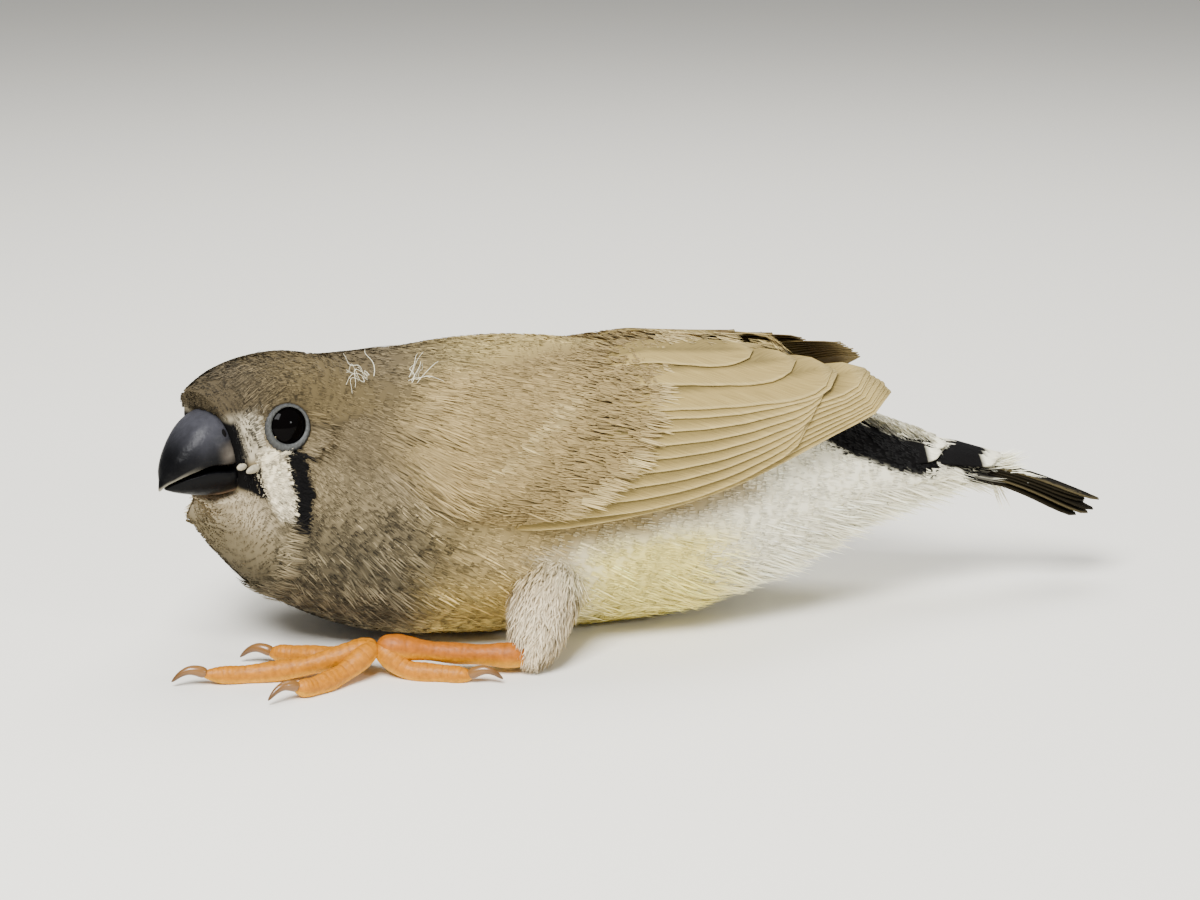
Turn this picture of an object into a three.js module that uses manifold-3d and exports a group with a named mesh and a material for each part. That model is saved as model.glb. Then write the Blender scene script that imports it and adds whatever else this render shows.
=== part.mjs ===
// A life-size still model of a young zebra finch that crouches on its belly, in millimetres.
// +Z is up, the bird looks towards -X with its left side at -Y, and the floor is Z = 0.
// The sizes below are measured from the floor under the middle of the back; at the end the bird is
// moved by ORIGIN, so that the part's origin lies under the middle of its whole outline.
import * as THREE from "three";
import { mergeVertices } from "three/addons/utils/BufferGeometryUtils.js";
import Module from "manifold-3d";

const wasm = await Module();
wasm.setup();

const GAP = 0.3; // what neighbouring pieces keep between them
const FLOOR = 0;
const ORIGIN = [1.4, -0.75]; // middle of the whole bird, where the part's own origin goes
const DEG = Math.PI / 180;
const UP = new THREE.Vector3(0, 0, 1);

// Trunk, from breast to tail root: [x, half width, lowest z, highest z]
const TRUNK = [
  [-44.4, 1.0, 11.2, 14.2],
  [-42.8, 5.4, 9.2, 18.0],
  [-39, 9.6, 5.4, 22.0],
  [-33, 12.4, 2.0, 25.6],
  [-27, 14.0, 0.2, 27.7],
  [-20, 14.6, -0.5, 29.2],
  [-12, 14.8, -0.6, 29.6],
  [-4, 14.4, -0.5, 29.0],
  [4, 13.4, 0.2, 27.0],
  [12, 11.4, 2.2, 24.6],
  [18, 9.4, 4.9, 22.3],
  [24, 7.2, 7.8, 19.6],
  [30, 5.2, 9.7, 17.2],
  [36, 3.4, 11.2, 15.0],
  [38, 1.2, 12.2, 14.0],
];
const TRUNK_WAIST = 0.4; // share of the height at which a trunk section is widest
const SECTION_POWER = 2.25; // 2 is an ellipse, more is squarer

// Head, in its own frame: origin between the eyes, [forward, half width, lowest, highest]
const HEAD_AT = new THREE.Vector3(-39.2, -4.0, 23.4);
const HEAD_YAW = 33 * DEG; // turned towards the left side
const HEAD_PITCH = 10 * DEG; // bill down
const HEAD = [
  [6.9, 3.3, -7.3, 3.0],
  [5.6, 3.9, -7.9, 4.2],
  [4.0, 4.5, -8.2, 4.8],
  [1.5, 5.5, -8.5, 5.1],
  [-2.0, 6.5, -9.0, 4.9],
  [-6.0, 7.4, -9.4, 4.0],
  [-11.0, 8.0, -9.4, 2.2],
  [-16.0, 7.4, -8.0, 0.2],
];
const HEAD_WAIST = 0.52;
const NECK_BLEND = 1.5; // how softly head and trunk run together

// The line inside the body from which its surface is measured: [share, x, y, z]
const SPINE = [
  [0.0, -41.5, -5.5, 21.2],
  [0.15, -36.6, -2.4, 22.0],
  [0.3, -30.0, -0.8, 20.0],
  [0.42, -22.0, 0, 16.5],
  [0.6, -6.0, 0, 14.0],
  [0.8, 14.0, 0, 13.6],
  [1.0, 33.0, 0, 12.8],
];
const FACE_CAP = 0.26; // share of the rings that close the face
const TAIL_CAP = 0.06;
const BODY_RINGS = 38;
const BODY_SIDES = 28;
const HEAD_CUT = 0.245; // shares of the spine where head, neck, trunk and tail part
const NECK_CUT = 0.38;
const TAIL_CUT = 0.9;

// Bill, in the head's frame: [forward, half width, lower edge, upper edge]
const BILL_ROOT = 4.65; // how far forward of the eyes its root face is
const BILL_FACE = { lowest: -6.4, highest: 3.1, wide: 14, deep: 8 }; // what the bill takes out of the head
const UPPER_BILL = [
  [2.0, 3.7, -3.0, 3.0],
  [5.0, 3.6, -2.75, 2.6],
  [7.0, 3.15, -2.2, 1.85],
  [9.0, 2.4, -2.35, 0.4],
  [10.4, 1.5, -2.75, -0.95],
  [11.0, 0.75, -3.1, -2.0],
  [11.5, 0.3, -3.5, -3.0],
];
const LOWER_BILL = [
  [1.0, 3.5, -6.5, -2.8],
  [5.0, 3.4, -6.0, -2.9],
  [7.0, 2.95, -5.5, -2.4],
  [9.0, 2.1, -4.8, -2.5],
  [10.2, 1.25, -4.25, -2.85],
  [10.8, 0.4, -3.8, -3.3],
];
const NOSTRIL = { forward: 4.95, side: 2.55, up: 0.35, length: 1.1, radius: 0.28 };

// Eyes lean forward and up; lids are rings in a shallow dish
const EYE = { forward: -0.9, side: 4.0, radius: 2.6, lean: 14 * DEG, rise: 10 * DEG };
const LID = { radius: 2.1, thick: 0.48, out: 2.1, dishRadius: 3.4, dishOut: 4.3 };

// Folded wings lie on a sleeve round the back: [x, half width, centre z, rise to the top]
const SLEEVE = [
  [-28, 13.8, 15.5, 12.2],
  [-20, 15.1, 15.0, 13.5],
  [-10, 15.7, 14.8, 13.6],
  [0, 15.2, 14.7, 13.0],
  [8, 13.6, 15.0, 11.9],
  [15, 11.4, 16.2, 10.0],
  [21, 9.2, 17.6, 7.9],
  [27, 7.4, 19.0, 6.1],
];
// Edges of the folded wing on that sleeve, as degrees from the mid-back: [x, upper, lower]
const WING_EDGES = [
  [-26, 42, 74],
  [-22, 26, 88],
  [-14, 16, 94],
  [-6, 8, 97],
  [4, 5, 91],
  [12, 7, 84],
  [18, 14, 77],
];
const WING_FRONT = -26;
const WING_BACK = 17;
const FAR_WING_RISE = 1.0; // the right wing's tip is held higher

// Legs: where each one bends, and three more places along each toe
const LEGS = {
  left: {
    hip: [-9.5, -10.0, 8.6],
    heel: [-13.6, -18.0, 1.7],
    foot: [-28.4, -15.6, 3.1],
    middle: [[-35, -15.4, 1.7], [-41.0, -15.0, 1.1], [-45.2, -15.0, 1.4]],
    outer: [[-32, -17.8, 1.5], [-35.0, -19.8, 1.1], [-37.0, -20.8, 1.4]],
    inner: [[-32, -13.4, 1.8], [-36.0, -11.2, 1.5], [-38.4, -10.2, 1.5]],
    hind: [[-25.8, -17.0, 1.2], [-22.4, -18.4, 0.95], [-19.6, -19.6, 0.95]],
  },
  right: {
    hip: [-3.5, 9.6, 8.4],
    heel: [-1.0, 15.4, 1.7],
    foot: [-13.6, 14.0, 2.7],
    middle: [[-19, 13.8, 1.4], [-24.6, 13.2, 0.95], [-28.0, 12.9, 1.1]],
    outer: [[-17.6, 16.2, 1.3], [-21.6, 18.4, 0.95], [-23.8, 19.4, 1.1]],
    inner: [[-17.8, 12.6, 1.4], [-21.6, 11.6, 1.0], [-23.8, 11.0, 1.1]],
    hind: [[-11.6, 15.4, 1.2], [-8.2, 16.8, 0.95], [-5.6, 17.8, 0.95]],
  },
};
const TIBIA_RADIUS = [2.6, 3.4, 3.0, 2.0];
const TARSUS_RADIUS = 1.05;
const TOE_RADIUS = 0.98;
const TOE_PRESS = 0.3; // how much the toes are pressed flat on the floor
const CLAW_LENGTH = 3.4;
const CLAW_LOW = 0.25; // height of a claw's tip
const CLAW_RADIUS = [0.6, 0.5, 0.34, 0.14];

const COLOUR = {
  grey: 0x9c8f77,
  fawn: 0xb8a888,
  white: 0xd8d4c2,
  dark: 0x3a3226,
  horn: 0x23262c,
  black: 0x0b0a0a,
  orange: 0xd29a5c,
  claw: 0x9a8468,
};
const finish = (color, roughness) =>
  new THREE.MeshStandardMaterial({ color, roughness, metalness: 0 });

// A smooth curve through rows of [place, values...], with slopes taken from both neighbours.
function along(rows, at) {
  const last = rows.length - 1;
  const rising = rows[last][0] > rows[0][0];
  const [least, most] = rising ? [rows[0][0], rows[last][0]] : [rows[last][0], rows[0][0]];
  const place = THREE.MathUtils.clamp(at, least, most);
  let i = 0;
  while (i < last - 1 && (rising ? place > rows[i + 1][0] : place < rows[i + 1][0])) i++;
  const slope = (k, c) => {
    const before = rows[Math.max(k - 1, 0)];
    const after = rows[Math.min(k + 1, last)];
    return (after[c] - before[c]) / (after[0] - before[0]);
  };
  const [a, b] = [rows[i], rows[i + 1]];
  const step = b[0] - a[0];
  const t = (place - a[0]) / step;
  const values = [];
  for (let c = 1; c < a.length; c++) {
    const rise = (2 * t - 3) * t * t;
    values.push(
      a[c] * (1 + rise) - b[c] * rise +
        step * t * (1 - t) * ((1 - t) * slope(i, c) - t * slope(i + 1, c)),
    );
  }
  return values;
}

const mix = (a, b, t) => a + (b - a) * t;
const vec = (p) => new THREE.Vector3(...p);

// Head axes: forward, left and up
const headForward = new THREE.Vector3(
  -Math.cos(HEAD_YAW) * Math.cos(HEAD_PITCH),
  -Math.sin(HEAD_YAW) * Math.cos(HEAD_PITCH),
  -Math.sin(HEAD_PITCH),
);
const headLeft = new THREE.Vector3(Math.sin(HEAD_YAW), -Math.cos(HEAD_YAW), 0);
const headUp = new THREE.Vector3().crossVectors(headForward, headLeft);
function onHead(forward, left, up) {
  return HEAD_AT.clone()
    .addScaledVector(headForward, forward)
    .addScaledVector(headLeft, left)
    .addScaledVector(headUp, up);
}

// How far outside a loft a point is: negative inside. Sections are rounded boxes of that power.
function outsideLoft(rows, waist, place, side, height) {
  const ends = [rows[0][0], rows[rows.length - 1][0]];
  const past = Math.max(Math.min(...ends) - place, place - Math.max(...ends), 0);
  const [width, low, high] = along(rows, place);
  const middle = mix(low, high, waist);
  const reach = height > middle ? high - middle : middle - low;
  const out =
    (Math.abs(side) / width) ** SECTION_POWER +
    (Math.abs(height - middle) / reach) ** SECTION_POWER;
  return (out ** (1 / SECTION_POWER) - 1) * Math.min(width, reach) + past;
}

// How far outside the body a point is, head and trunk run softly together.
function outsideBody(point) {
  const fromHead = point.clone().sub(HEAD_AT);
  const head = outsideLoft(
    HEAD,
    HEAD_WAIST,
    fromHead.dot(headForward),
    fromHead.dot(headLeft),
    fromHead.dot(headUp),
  );
  const trunk = outsideLoft(TRUNK, TRUNK_WAIST, point.x, point.y, point.z);
  const nearer = Math.min(head, trunk);
  const further = Math.max(head, trunk);
  return nearer - NECK_BLEND * Math.log(1 + Math.exp((nearer - further) / NECK_BLEND));
}

// Point and axes of the spine at a share of its length: forward is towards the head.
function spineAt(share) {
  const at = vec(along(SPINE, share));
  const step = 0.01;
  const ahead = vec(along(SPINE, Math.max(share - step, 0)));
  const behind = vec(along(SPINE, Math.min(share + step, 1)));
  const forward = ahead.sub(behind).normalize();
  const left = new THREE.Vector3().crossVectors(UP, forward).normalize();
  return { at, forward, left, up: new THREE.Vector3().crossVectors(forward, left) };
}

// Body surface: a ray leaves the spine, turned by `round` from the back over the left side,
// and leaning forwards or backwards on the rings that close the two ends.
function bodyPoint(round, ring, grow) {
  const share = THREE.MathUtils.clamp((ring - 0.14) / (1 - TAIL_CAP - 0.14), 0, 1);
  const { at, forward, left, up } = spineAt(share);
  let lean = 0;
  if (ring < FACE_CAP) lean = (Math.PI / 2) * (1 - ring / FACE_CAP);
  if (ring > 1 - TAIL_CAP) lean = (-Math.PI / 2) * ((ring - 1 + TAIL_CAP) / TAIL_CAP);
  const ray = up.multiplyScalar(Math.cos(round) * Math.cos(lean))
    .addScaledVector(left, Math.sin(round) * Math.cos(lean))
    .addScaledVector(forward, Math.sin(lean));
  let [near, far] = [0, 30];
  for (let i = 0; i < 26; i++) {
    const middle = (near + far) / 2;
    if (outsideBody(at.clone().addScaledVector(ray, middle)) < grow) near = middle;
    else far = middle;
  }
  const point = at.addScaledVector(ray, near);
  point.z = Math.max(point.z, FLOOR);
  return point;
}

// A sphere's grid with each point put where place(round, ring) says, round 0 to 1 and ring 0 to 1.
function drawnOut(sides, rings, place) {
  const geometry = new THREE.SphereGeometry(1, sides, rings);
  const { position, uv } = geometry.attributes;
  for (let i = 0; i < position.count; i++) {
    const ring = Math.round((1 - uv.getY(i)) * rings) / rings;
    const round = ring === 0 || ring === 1 ? 0 : Math.round(uv.getX(i) * sides) / sides;
    position.setXYZ(i, ...place(round % 1, ring).toArray());
  }
  return geometry;
}

// A thin closed slab over a grid of steps, place(a, b, face): a and b go from 0 to 1, and the face is
// 0 outside and 1 inside. Both faces are split into triangles alike.
function slab(long, wide, place) {
  const points = [];
  const index = [];
  const at = (i, j, face) => (face * (long + 1) + i) * (wide + 1) + j;
  for (const face of [0, 1])
    for (let i = 0; i <= long; i++)
      for (let j = 0; j <= wide; j++) points.push(...place(i / long, j / wide, face).toArray());
  const quad = (a, b, c, d) => index.push(a, b, c, a, c, d);
  for (let i = 0; i < long; i++)
    for (let j = 0; j < wide; j++) {
      quad(at(i, j, 0), at(i + 1, j, 0), at(i + 1, j + 1, 0), at(i, j + 1, 0));
      const [a, b, c, d] = [at(i, j, 1), at(i + 1, j, 1), at(i + 1, j + 1, 1), at(i, j + 1, 1)];
      index.push(a, c, b, a, d, c);
    }
  for (let i = 0; i < long; i++) {
    quad(at(i, 0, 0), at(i, 0, 1), at(i + 1, 0, 1), at(i + 1, 0, 0));
    quad(at(i, wide, 0), at(i + 1, wide, 0), at(i + 1, wide, 1), at(i, wide, 1));
  }
  for (let j = 0; j < wide; j++) {
    quad(at(0, j, 0), at(0, j + 1, 0), at(0, j + 1, 1), at(0, j, 1));
    quad(at(long, j, 0), at(long, j, 1), at(long, j + 1, 1), at(long, j + 1, 0));
  }
  const geometry = new THREE.BufferGeometry();
  geometry.setAttribute("position", new THREE.Float32BufferAttribute(points, 3));
  geometry.setIndex(index);
  return geometry;
}

// A round limb along points, with a radius for each and rounded ends.
function limb(points, radii, sides, rings, flat = FLOOR) {
  const curve = new THREE.CatmullRomCurve3(points.map(vec), false, "centripetal");
  const rows = radii.map((r, i) => [i / (radii.length - 1), r]);
  return drawnOut(sides, rings, (round, ring) => {
    const t = (1 - Math.cos(Math.PI * ring)) / 2;
    const at = curve.getPoint(t);
    const forward = curve.getTangent(t);
    const side = new THREE.Vector3().crossVectors(UP, forward).normalize();
    const up = new THREE.Vector3().crossVectors(forward, side);
    const radius = along(rows, t)[0] * Math.sqrt(Math.max(0, 1 - (2 * t - 1) ** 8));
    const turn = 2 * Math.PI * round;
    at.addScaledVector(side, -radius * Math.sin(turn)).addScaledVector(up, radius * Math.cos(turn));
    at.z = Math.max(at.z, flat);
    return at;
  });
}

// A closed three.js shape as a solid that can be joined and cut, and back.
function solid(geometry) {
  const bare = geometry.index ? geometry.toNonIndexed() : geometry.clone();
  const only = new THREE.BufferGeometry().setAttribute("position", bare.getAttribute("position"));
  const merged = mergeVertices(only, 1e-4);
  const mesh = new wasm.Mesh({
    numProp: 3,
    vertProperties: merged.attributes.position.array,
    triVerts: new Uint32Array(merged.index.array),
  });
  const made = new wasm.Manifold(mesh);
  if (made.volume() > 0) return made;
  const { triVerts } = mesh;
  for (let i = 0; i < triVerts.length; i += 3)
    [triVerts[i], triVerts[i + 1]] = [triVerts[i + 1], triVerts[i]];
  return new wasm.Manifold(mesh);
}
const largest = (made) =>
  made.decompose().reduce((best, piece) => (piece.volume() > best.volume() ? piece : best));
const joined = (solids) => solids.reduce((all, one) => all.add(one));
function shape(made) {
  const mesh = largest(made).getMesh();
  const geometry = new THREE.BufferGeometry();
  geometry.setAttribute("position", new THREE.Float32BufferAttribute(mesh.vertProperties, 3));
  geometry.setIndex(new THREE.BufferAttribute(mesh.triVerts, 1));
  geometry.computeVertexNormals();
  return geometry;
}

// A box turned so that its thin side lies along an axis, used only to cut.
function cutter(at, axis, thick, wide = 80) {
  const turn = new THREE.Quaternion().setFromUnitVectors(UP, axis.clone().normalize());
  const geometry = new THREE.BoxGeometry(wide, wide, thick);
  geometry.applyQuaternion(turn).translate(at.x, at.y, at.z);
  return solid(geometry);
}

const bird = new THREE.Group();
function add(name, made, material) {
  const mesh = new THREE.Mesh(shape(made), material);
  mesh.name = name;
  bird.add(mesh);
}

// The whole flesh, out to the tips of its small feathers, and the same grown by the gap.
const bodyShape = (grow, rings = BODY_RINGS) =>
  solid(drawnOut(BODY_SIDES, rings, (round, ring) => bodyPoint(2 * Math.PI * round, ring, grow)));
const body = bodyShape(0);
const bodyGrown = bodyShape(GAP);

// Part the flesh with thin cuts across the spine.
function cutAt(share) {
  const { at, forward } = spineAt(share);
  return cutter(at, forward, GAP);
}
const forwardOf = (made) => {
  const box = made.boundingBox();
  return (box.min[0] + box.max[0]) / 2;
};
const [headWhole, neck, trunk, tailRoot] = body
  .subtract(cutAt(HEAD_CUT))
  .subtract(cutAt(NECK_CUT))
  .subtract(cutAt(TAIL_CUT))
  .decompose()
  .filter((piece) => piece.volume() > 1)
  .sort((a, b) => forwardOf(a) - forwardOf(b));

// A box in the head's frame, from one place forward to another, used only to cut.
function headBox(from, to, lowest, highest, wide) {
  const geometry = new THREE.BoxGeometry(to - from, wide, highest - lowest);
  geometry.applyMatrix4(new THREE.Matrix4().makeBasis(headForward, headLeft, headUp));
  const at = onHead((from + to) / 2, 0, (lowest + highest) / 2);
  return solid(geometry.translate(at.x, at.y, at.z));
}
const billPlace = headBox(
  BILL_ROOT - GAP / 2,
  BILL_ROOT + BILL_FACE.deep,
  BILL_FACE.lowest,
  BILL_FACE.highest,
  BILL_FACE.wide,
);
const behindBill = headBox(BILL_ROOT - 20, BILL_ROOT + GAP / 2, -20, 20, 40);

// One half of the bill: sections narrow from the rounded ridge to the straight cutting edge.
function billHalf(rows, ridgeUp) {
  const back = rows[0][0];
  const tip = rows[rows.length - 1][0];
  return solid(
    drawnOut(16, 12, (round, ring) => {
      const forward = mix(back, tip, (1 - Math.cos(Math.PI * ring)) / 2);
      const [width, low, high] = along(rows, forward);
      const close = Math.sin(Math.PI * ring) ** 0.3;
      const turn = 2 * Math.PI * round;
      const edge = ridgeUp ? low : high;
      const ridge = ridgeUp ? high : low;
      const rise = Math.cos(turn) > 0 ? Math.cos(turn) ** 0.85 : 0.12 * Math.cos(turn);
      const middle = mix(edge, ridge, 0.1);
      return onHead(
        forward,
        -width * close * Math.sign(Math.sin(turn)) * Math.abs(Math.sin(turn)) ** 0.8,
        middle + (ridge - middle) * rise * close,
      );
    }),
  );
}

function nostril(side) {
  const { forward, side: out, up, length, radius } = NOSTRIL;
  const geometry = new THREE.SphereGeometry(1, 8, 4).scale(length / 2, radius * 2, radius);
  geometry.rotateY(55 * DEG).applyMatrix4(
    new THREE.Matrix4().makeBasis(headForward, headLeft, headUp),
  );
  const at = onHead(forward + 0.6, out * side, up);
  return solid(geometry.translate(at.x, at.y, at.z));
}

function makeHead() {
  const eyes = [1, -1].map((side) => {
    const centre = onHead(EYE.forward, EYE.side * side, 0);
    const axis = headLeft.clone().multiplyScalar(side * Math.cos(EYE.lean))
      .addScaledVector(headForward, Math.sin(EYE.lean))
      .addScaledVector(headUp, Math.tan(EYE.rise))
      .normalize();
    return { side, centre, axis };
  });
  const ball = (eye, radius, out = 0) => {
    const at = eye.centre.clone().addScaledVector(eye.axis, out);
    return solid(new THREE.SphereGeometry(radius, 18, 10).translate(at.x, at.y, at.z));
  };
  const lid = (eye) => {
    const at = eye.centre.clone().addScaledVector(eye.axis, LID.out);
    const ring = new THREE.TorusGeometry(LID.radius, LID.thick, 6, 18);
    ring.applyQuaternion(new THREE.Quaternion().setFromUnitVectors(UP, eye.axis));
    return solid(ring.translate(at.x, at.y, at.z));
  };
  let head = headWhole.subtract(billPlace);
  for (const eye of eyes)
    head = head
      .subtract(ball(eye, LID.dishRadius, LID.dishOut))
      .add(lid(eye))
      .subtract(ball(eye, EYE.radius + GAP));
  add("head", head, finish(COLOUR.grey, 0.9));
  for (const eye of eyes)
    add(eye.side > 0 ? "eye_left" : "eye_right", ball(eye, EYE.radius), finish(COLOUR.black, 0.05));
}

function makeBill() {
  const upper = billHalf(UPPER_BILL, true)
    .subtract(behindBill)
    .subtract(nostril(1))
    .subtract(nostril(-1));
  const clear = UPPER_BILL.map(([at, width, low, high]) => [at, width + GAP, low - GAP, high + GAP]);
  const lower = billHalf(LOWER_BILL, false).subtract(behindBill).subtract(billHalf(clear, true));
  add("bill_upper", upper, finish(COLOUR.horn, 0.35));
  add("bill_lower", lower, finish(COLOUR.horn, 0.4));
}

// A point of the sleeve that the folded wings lie on. side is 1 on the left and -1 on the right.
function onSleeve(x, degrees, out, side) {
  const [width, centre, rise] = along(SLEEVE, x);
  const turn = degrees * DEG;
  const lifted = side < 0 ? FAR_WING_RISE * THREE.MathUtils.smoothstep(x, 0, 26) : 0;
  return new THREE.Vector3(
    x,
    -side * (width + out) * Math.sin(turn),
    centre + lifted + (rise + out) * Math.cos(turn),
  );
}

// One feather vane on the sleeve, from root to tip as [x, degrees], with a rounded tip.
function wingVane({ root, tip, width, out, thick = 0.55, bow = 0, side, steps = 4 }) {
  const place = (a, b, face) => {
    const x = mix(root[0], tip[0], a);
    const [half, , rise] = along(SLEEVE, x);
    const radius = ((half + rise) / 2) * DEG;
    const degrees = mix(root[1], tip[1], a) + (bow * Math.sin(Math.PI * a)) / radius;
    const run = tip[0] - root[0];
    const fall = (tip[1] - root[1]) * radius;
    const length = Math.hypot(run, fall);
    const round = a > 0.72 ? Math.sqrt(1 - ((a - 0.72) / 0.3) ** 2) : 0.7 + (0.3 * a) / 0.72;
    const across = (b - 0.5) * width * round;
    const rootDepth = 1.3;
    const lift = out - rootDepth * (1 - Math.min(1, a * 1.5));
    return onSleeve(
      x - (across * fall) / length,
      degrees + (across * run) / length / radius,
      lift - face * thick,
      side,
    );
  };
  return solid(slab(steps, 1, place));
}

// The tiers of a folded wing, as lists of vanes; numbers run from the lower edge upwards.
function wingFeathers(side) {
  const vanes = [];
  const rise = (i, n) => i / (n - 1);
  for (let i = 0; i < 6; i++) {
    const t = rise(i, 6);
    vanes.push({
      root: [mix(-9, 0, t), mix(93, 66, t)],
      tip: [mix(26.0, 19.5, t ** 1.5), mix(46, 26, t)],
      width: mix(3.2, 4.4, t),
      out: mix(0.25, 0.75, t),
      bow: mix(2.0, 1.0, t),
    });
  }
  for (let i = 0; i < 5; i++) {
    const t = rise(i, 5);
    vanes.push({
      root: [mix(-6, 0, t), mix(82, 48, t)],
      tip: [mix(17.5, 19.5, t), mix(52, 28, t)],
      width: mix(3.8, 5.0, t),
      out: mix(0.85, 1.15, t),
      bow: 1.2,
    });
  }
  for (let i = 0; i < 3; i++) {
    const t = rise(i, 3);
    vanes.push({
      root: [mix(2, -4, t), mix(36, 17, t)],
      tip: [mix(20.0, 11.5, t), mix(27, 13, t)],
      width: mix(5.6, 5.0, t),
      out: mix(1.3, 1.6, t),
      bow: 0.3,
    });
  }
  for (let i = 0; i < 6; i++) {
    const t = rise(i, 6);
    vanes.push({
      root: [mix(-18, -7, t), mix(84, 26, t)],
      tip: [mix(-6.5, 4.8, t), mix(82, 23, t)],
      width: mix(4.2, 5.2, t),
      out: mix(1.0, 1.6, t),
      steps: 3,
    });
  }
  for (let i = 0; i < 5; i++) {
    const t = rise(i, 5);
    vanes.push({
      root: [mix(-22, -14, t), mix(73, 40, t)],
      tip: [mix(-15.5, -4.8, t), mix(76, 38, t)],
      width: 4.8,
      out: mix(1.3, 1.7, t),
      steps: 3,
    });
  }
  return vanes.map((vane) => ({ ...vane, side }));
}

function makeWing(name, side) {
  const core = solid(
    slab(12, 8, (a, b, face) => {
      const x = mix(WING_FRONT, WING_BACK, a);
      const [upper, lower] = along(WING_EDGES, x);
      const edge = Math.sin(Math.PI * b) ** 0.5;
      const ends = Math.min(1, a * 5) ** 0.5;
      const inner = mix(-3.6, -1.3, THREE.MathUtils.smoothstep(x, 2, 16));
      const outer = mix(-0.6, 0.9, edge * ends) - 0.7 * THREE.MathUtils.smoothstep(x, -2, 8);
      return onSleeve(x, mix(upper, lower, b), face ? inner : outer, side);
    }),
  );
  const vanes = wingFeathers(side).map(wingVane);
  add(name, joined([core, ...vanes]).subtract(bodyGrown), finish(COLOUR.fawn, 0.8));
}

// Tail feathers as flat vanes that lie one over another, the middle pair on top.
const TAIL = { root: [27, 14.6], tip: [51.2, 8.7], pairs: 6 };
const TAIL_VANE = { width: 3.8, spread: 2.6, drop: 0.2, thick: 0.55 };
function tailVane(place, side) {
  const { root, tip, pairs } = TAIL;
  const { width, spread, drop, thick } = TAIL_VANE;
  const outward = (place + 0.35) / pairs;
  const long = 1 - 0.1 * outward ** 2;
  return solid(
    slab(6, 1, (a, b, face) => {
      const t = a * long;
      const round = a > 0.75 ? Math.sqrt(1 - ((a - 0.75) / 0.29) ** 2) : 0.6 + (0.4 * a) / 0.75;
      const y = side * spread * outward * mix(0.5, 1, a) + (b - 0.5) * width * round;
      const sag = 0.9 * Math.sin(Math.PI * t) - 0.07 * y * y;
      return new THREE.Vector3(
        mix(root[0], tip[0], t),
        y,
        mix(root[1], tip[1], t) + sag - drop * place - face * thick,
      );
    }),
  );
}

// Upper tail coverts: broad vanes in tiers that follow the line of the rump down on to the tail.
const COVERT_LINE = [[22, 19.4], [26, 18.6], [30, 17.2], [34, 15.9], [38, 14.5], [42, 13.1]];
const COVERTS = [
  { x: 30, long: 9.5, count: 3, lift: 0.1 },
  { x: 27, long: 8, count: 4, lift: 0.5 },
  { x: 25, long: 6, count: 3, lift: 0.9 },
];
const COVERT = { width: 3.6, apart: 1.9, fall: 0.14, rootDepth: 1.2, thick: 0.55 };
function covertVane({ x, long, lift }, y) {
  return solid(
    slab(4, 1, (a, b, face) => {
      const round = a > 0.6 ? Math.sqrt(1 - ((a - 0.6) / 0.44) ** 2) : 0.75 + (0.25 * a) / 0.6;
      const side = y + (b - 0.5) * COVERT.width * round;
      const at = x + long * a;
      const sunk = COVERT.rootDepth * Math.max(0, 1 - 1.6 * a);
      const top = along(COVERT_LINE, at)[0] + lift - sunk - COVERT.fall * side * side;
      return new THREE.Vector3(at, side, top - face * COVERT.thick);
    }),
  );
}

function makeTail() {
  const vanes = [];
  for (let i = TAIL.pairs - 1; i >= 0; i--) for (const side of [-1, 1]) vanes.push(tailVane(i, side));
  for (const tier of COVERTS)
    for (let i = 0; i < tier.count; i++)
      vanes.push(covertVane(tier, (i - (tier.count - 1) / 2) * COVERT.apart));
  const { at, forward } = spineAt(TAIL_CUT);
  const ahead = cutter(at.addScaledVector(forward, 20), forward, 40 + GAP);
  const tail = joined([tailRoot, ...vanes]).subtract(ahead);
  add("tail", tail, finish(COLOUR.dark, 0.7));
}

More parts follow.
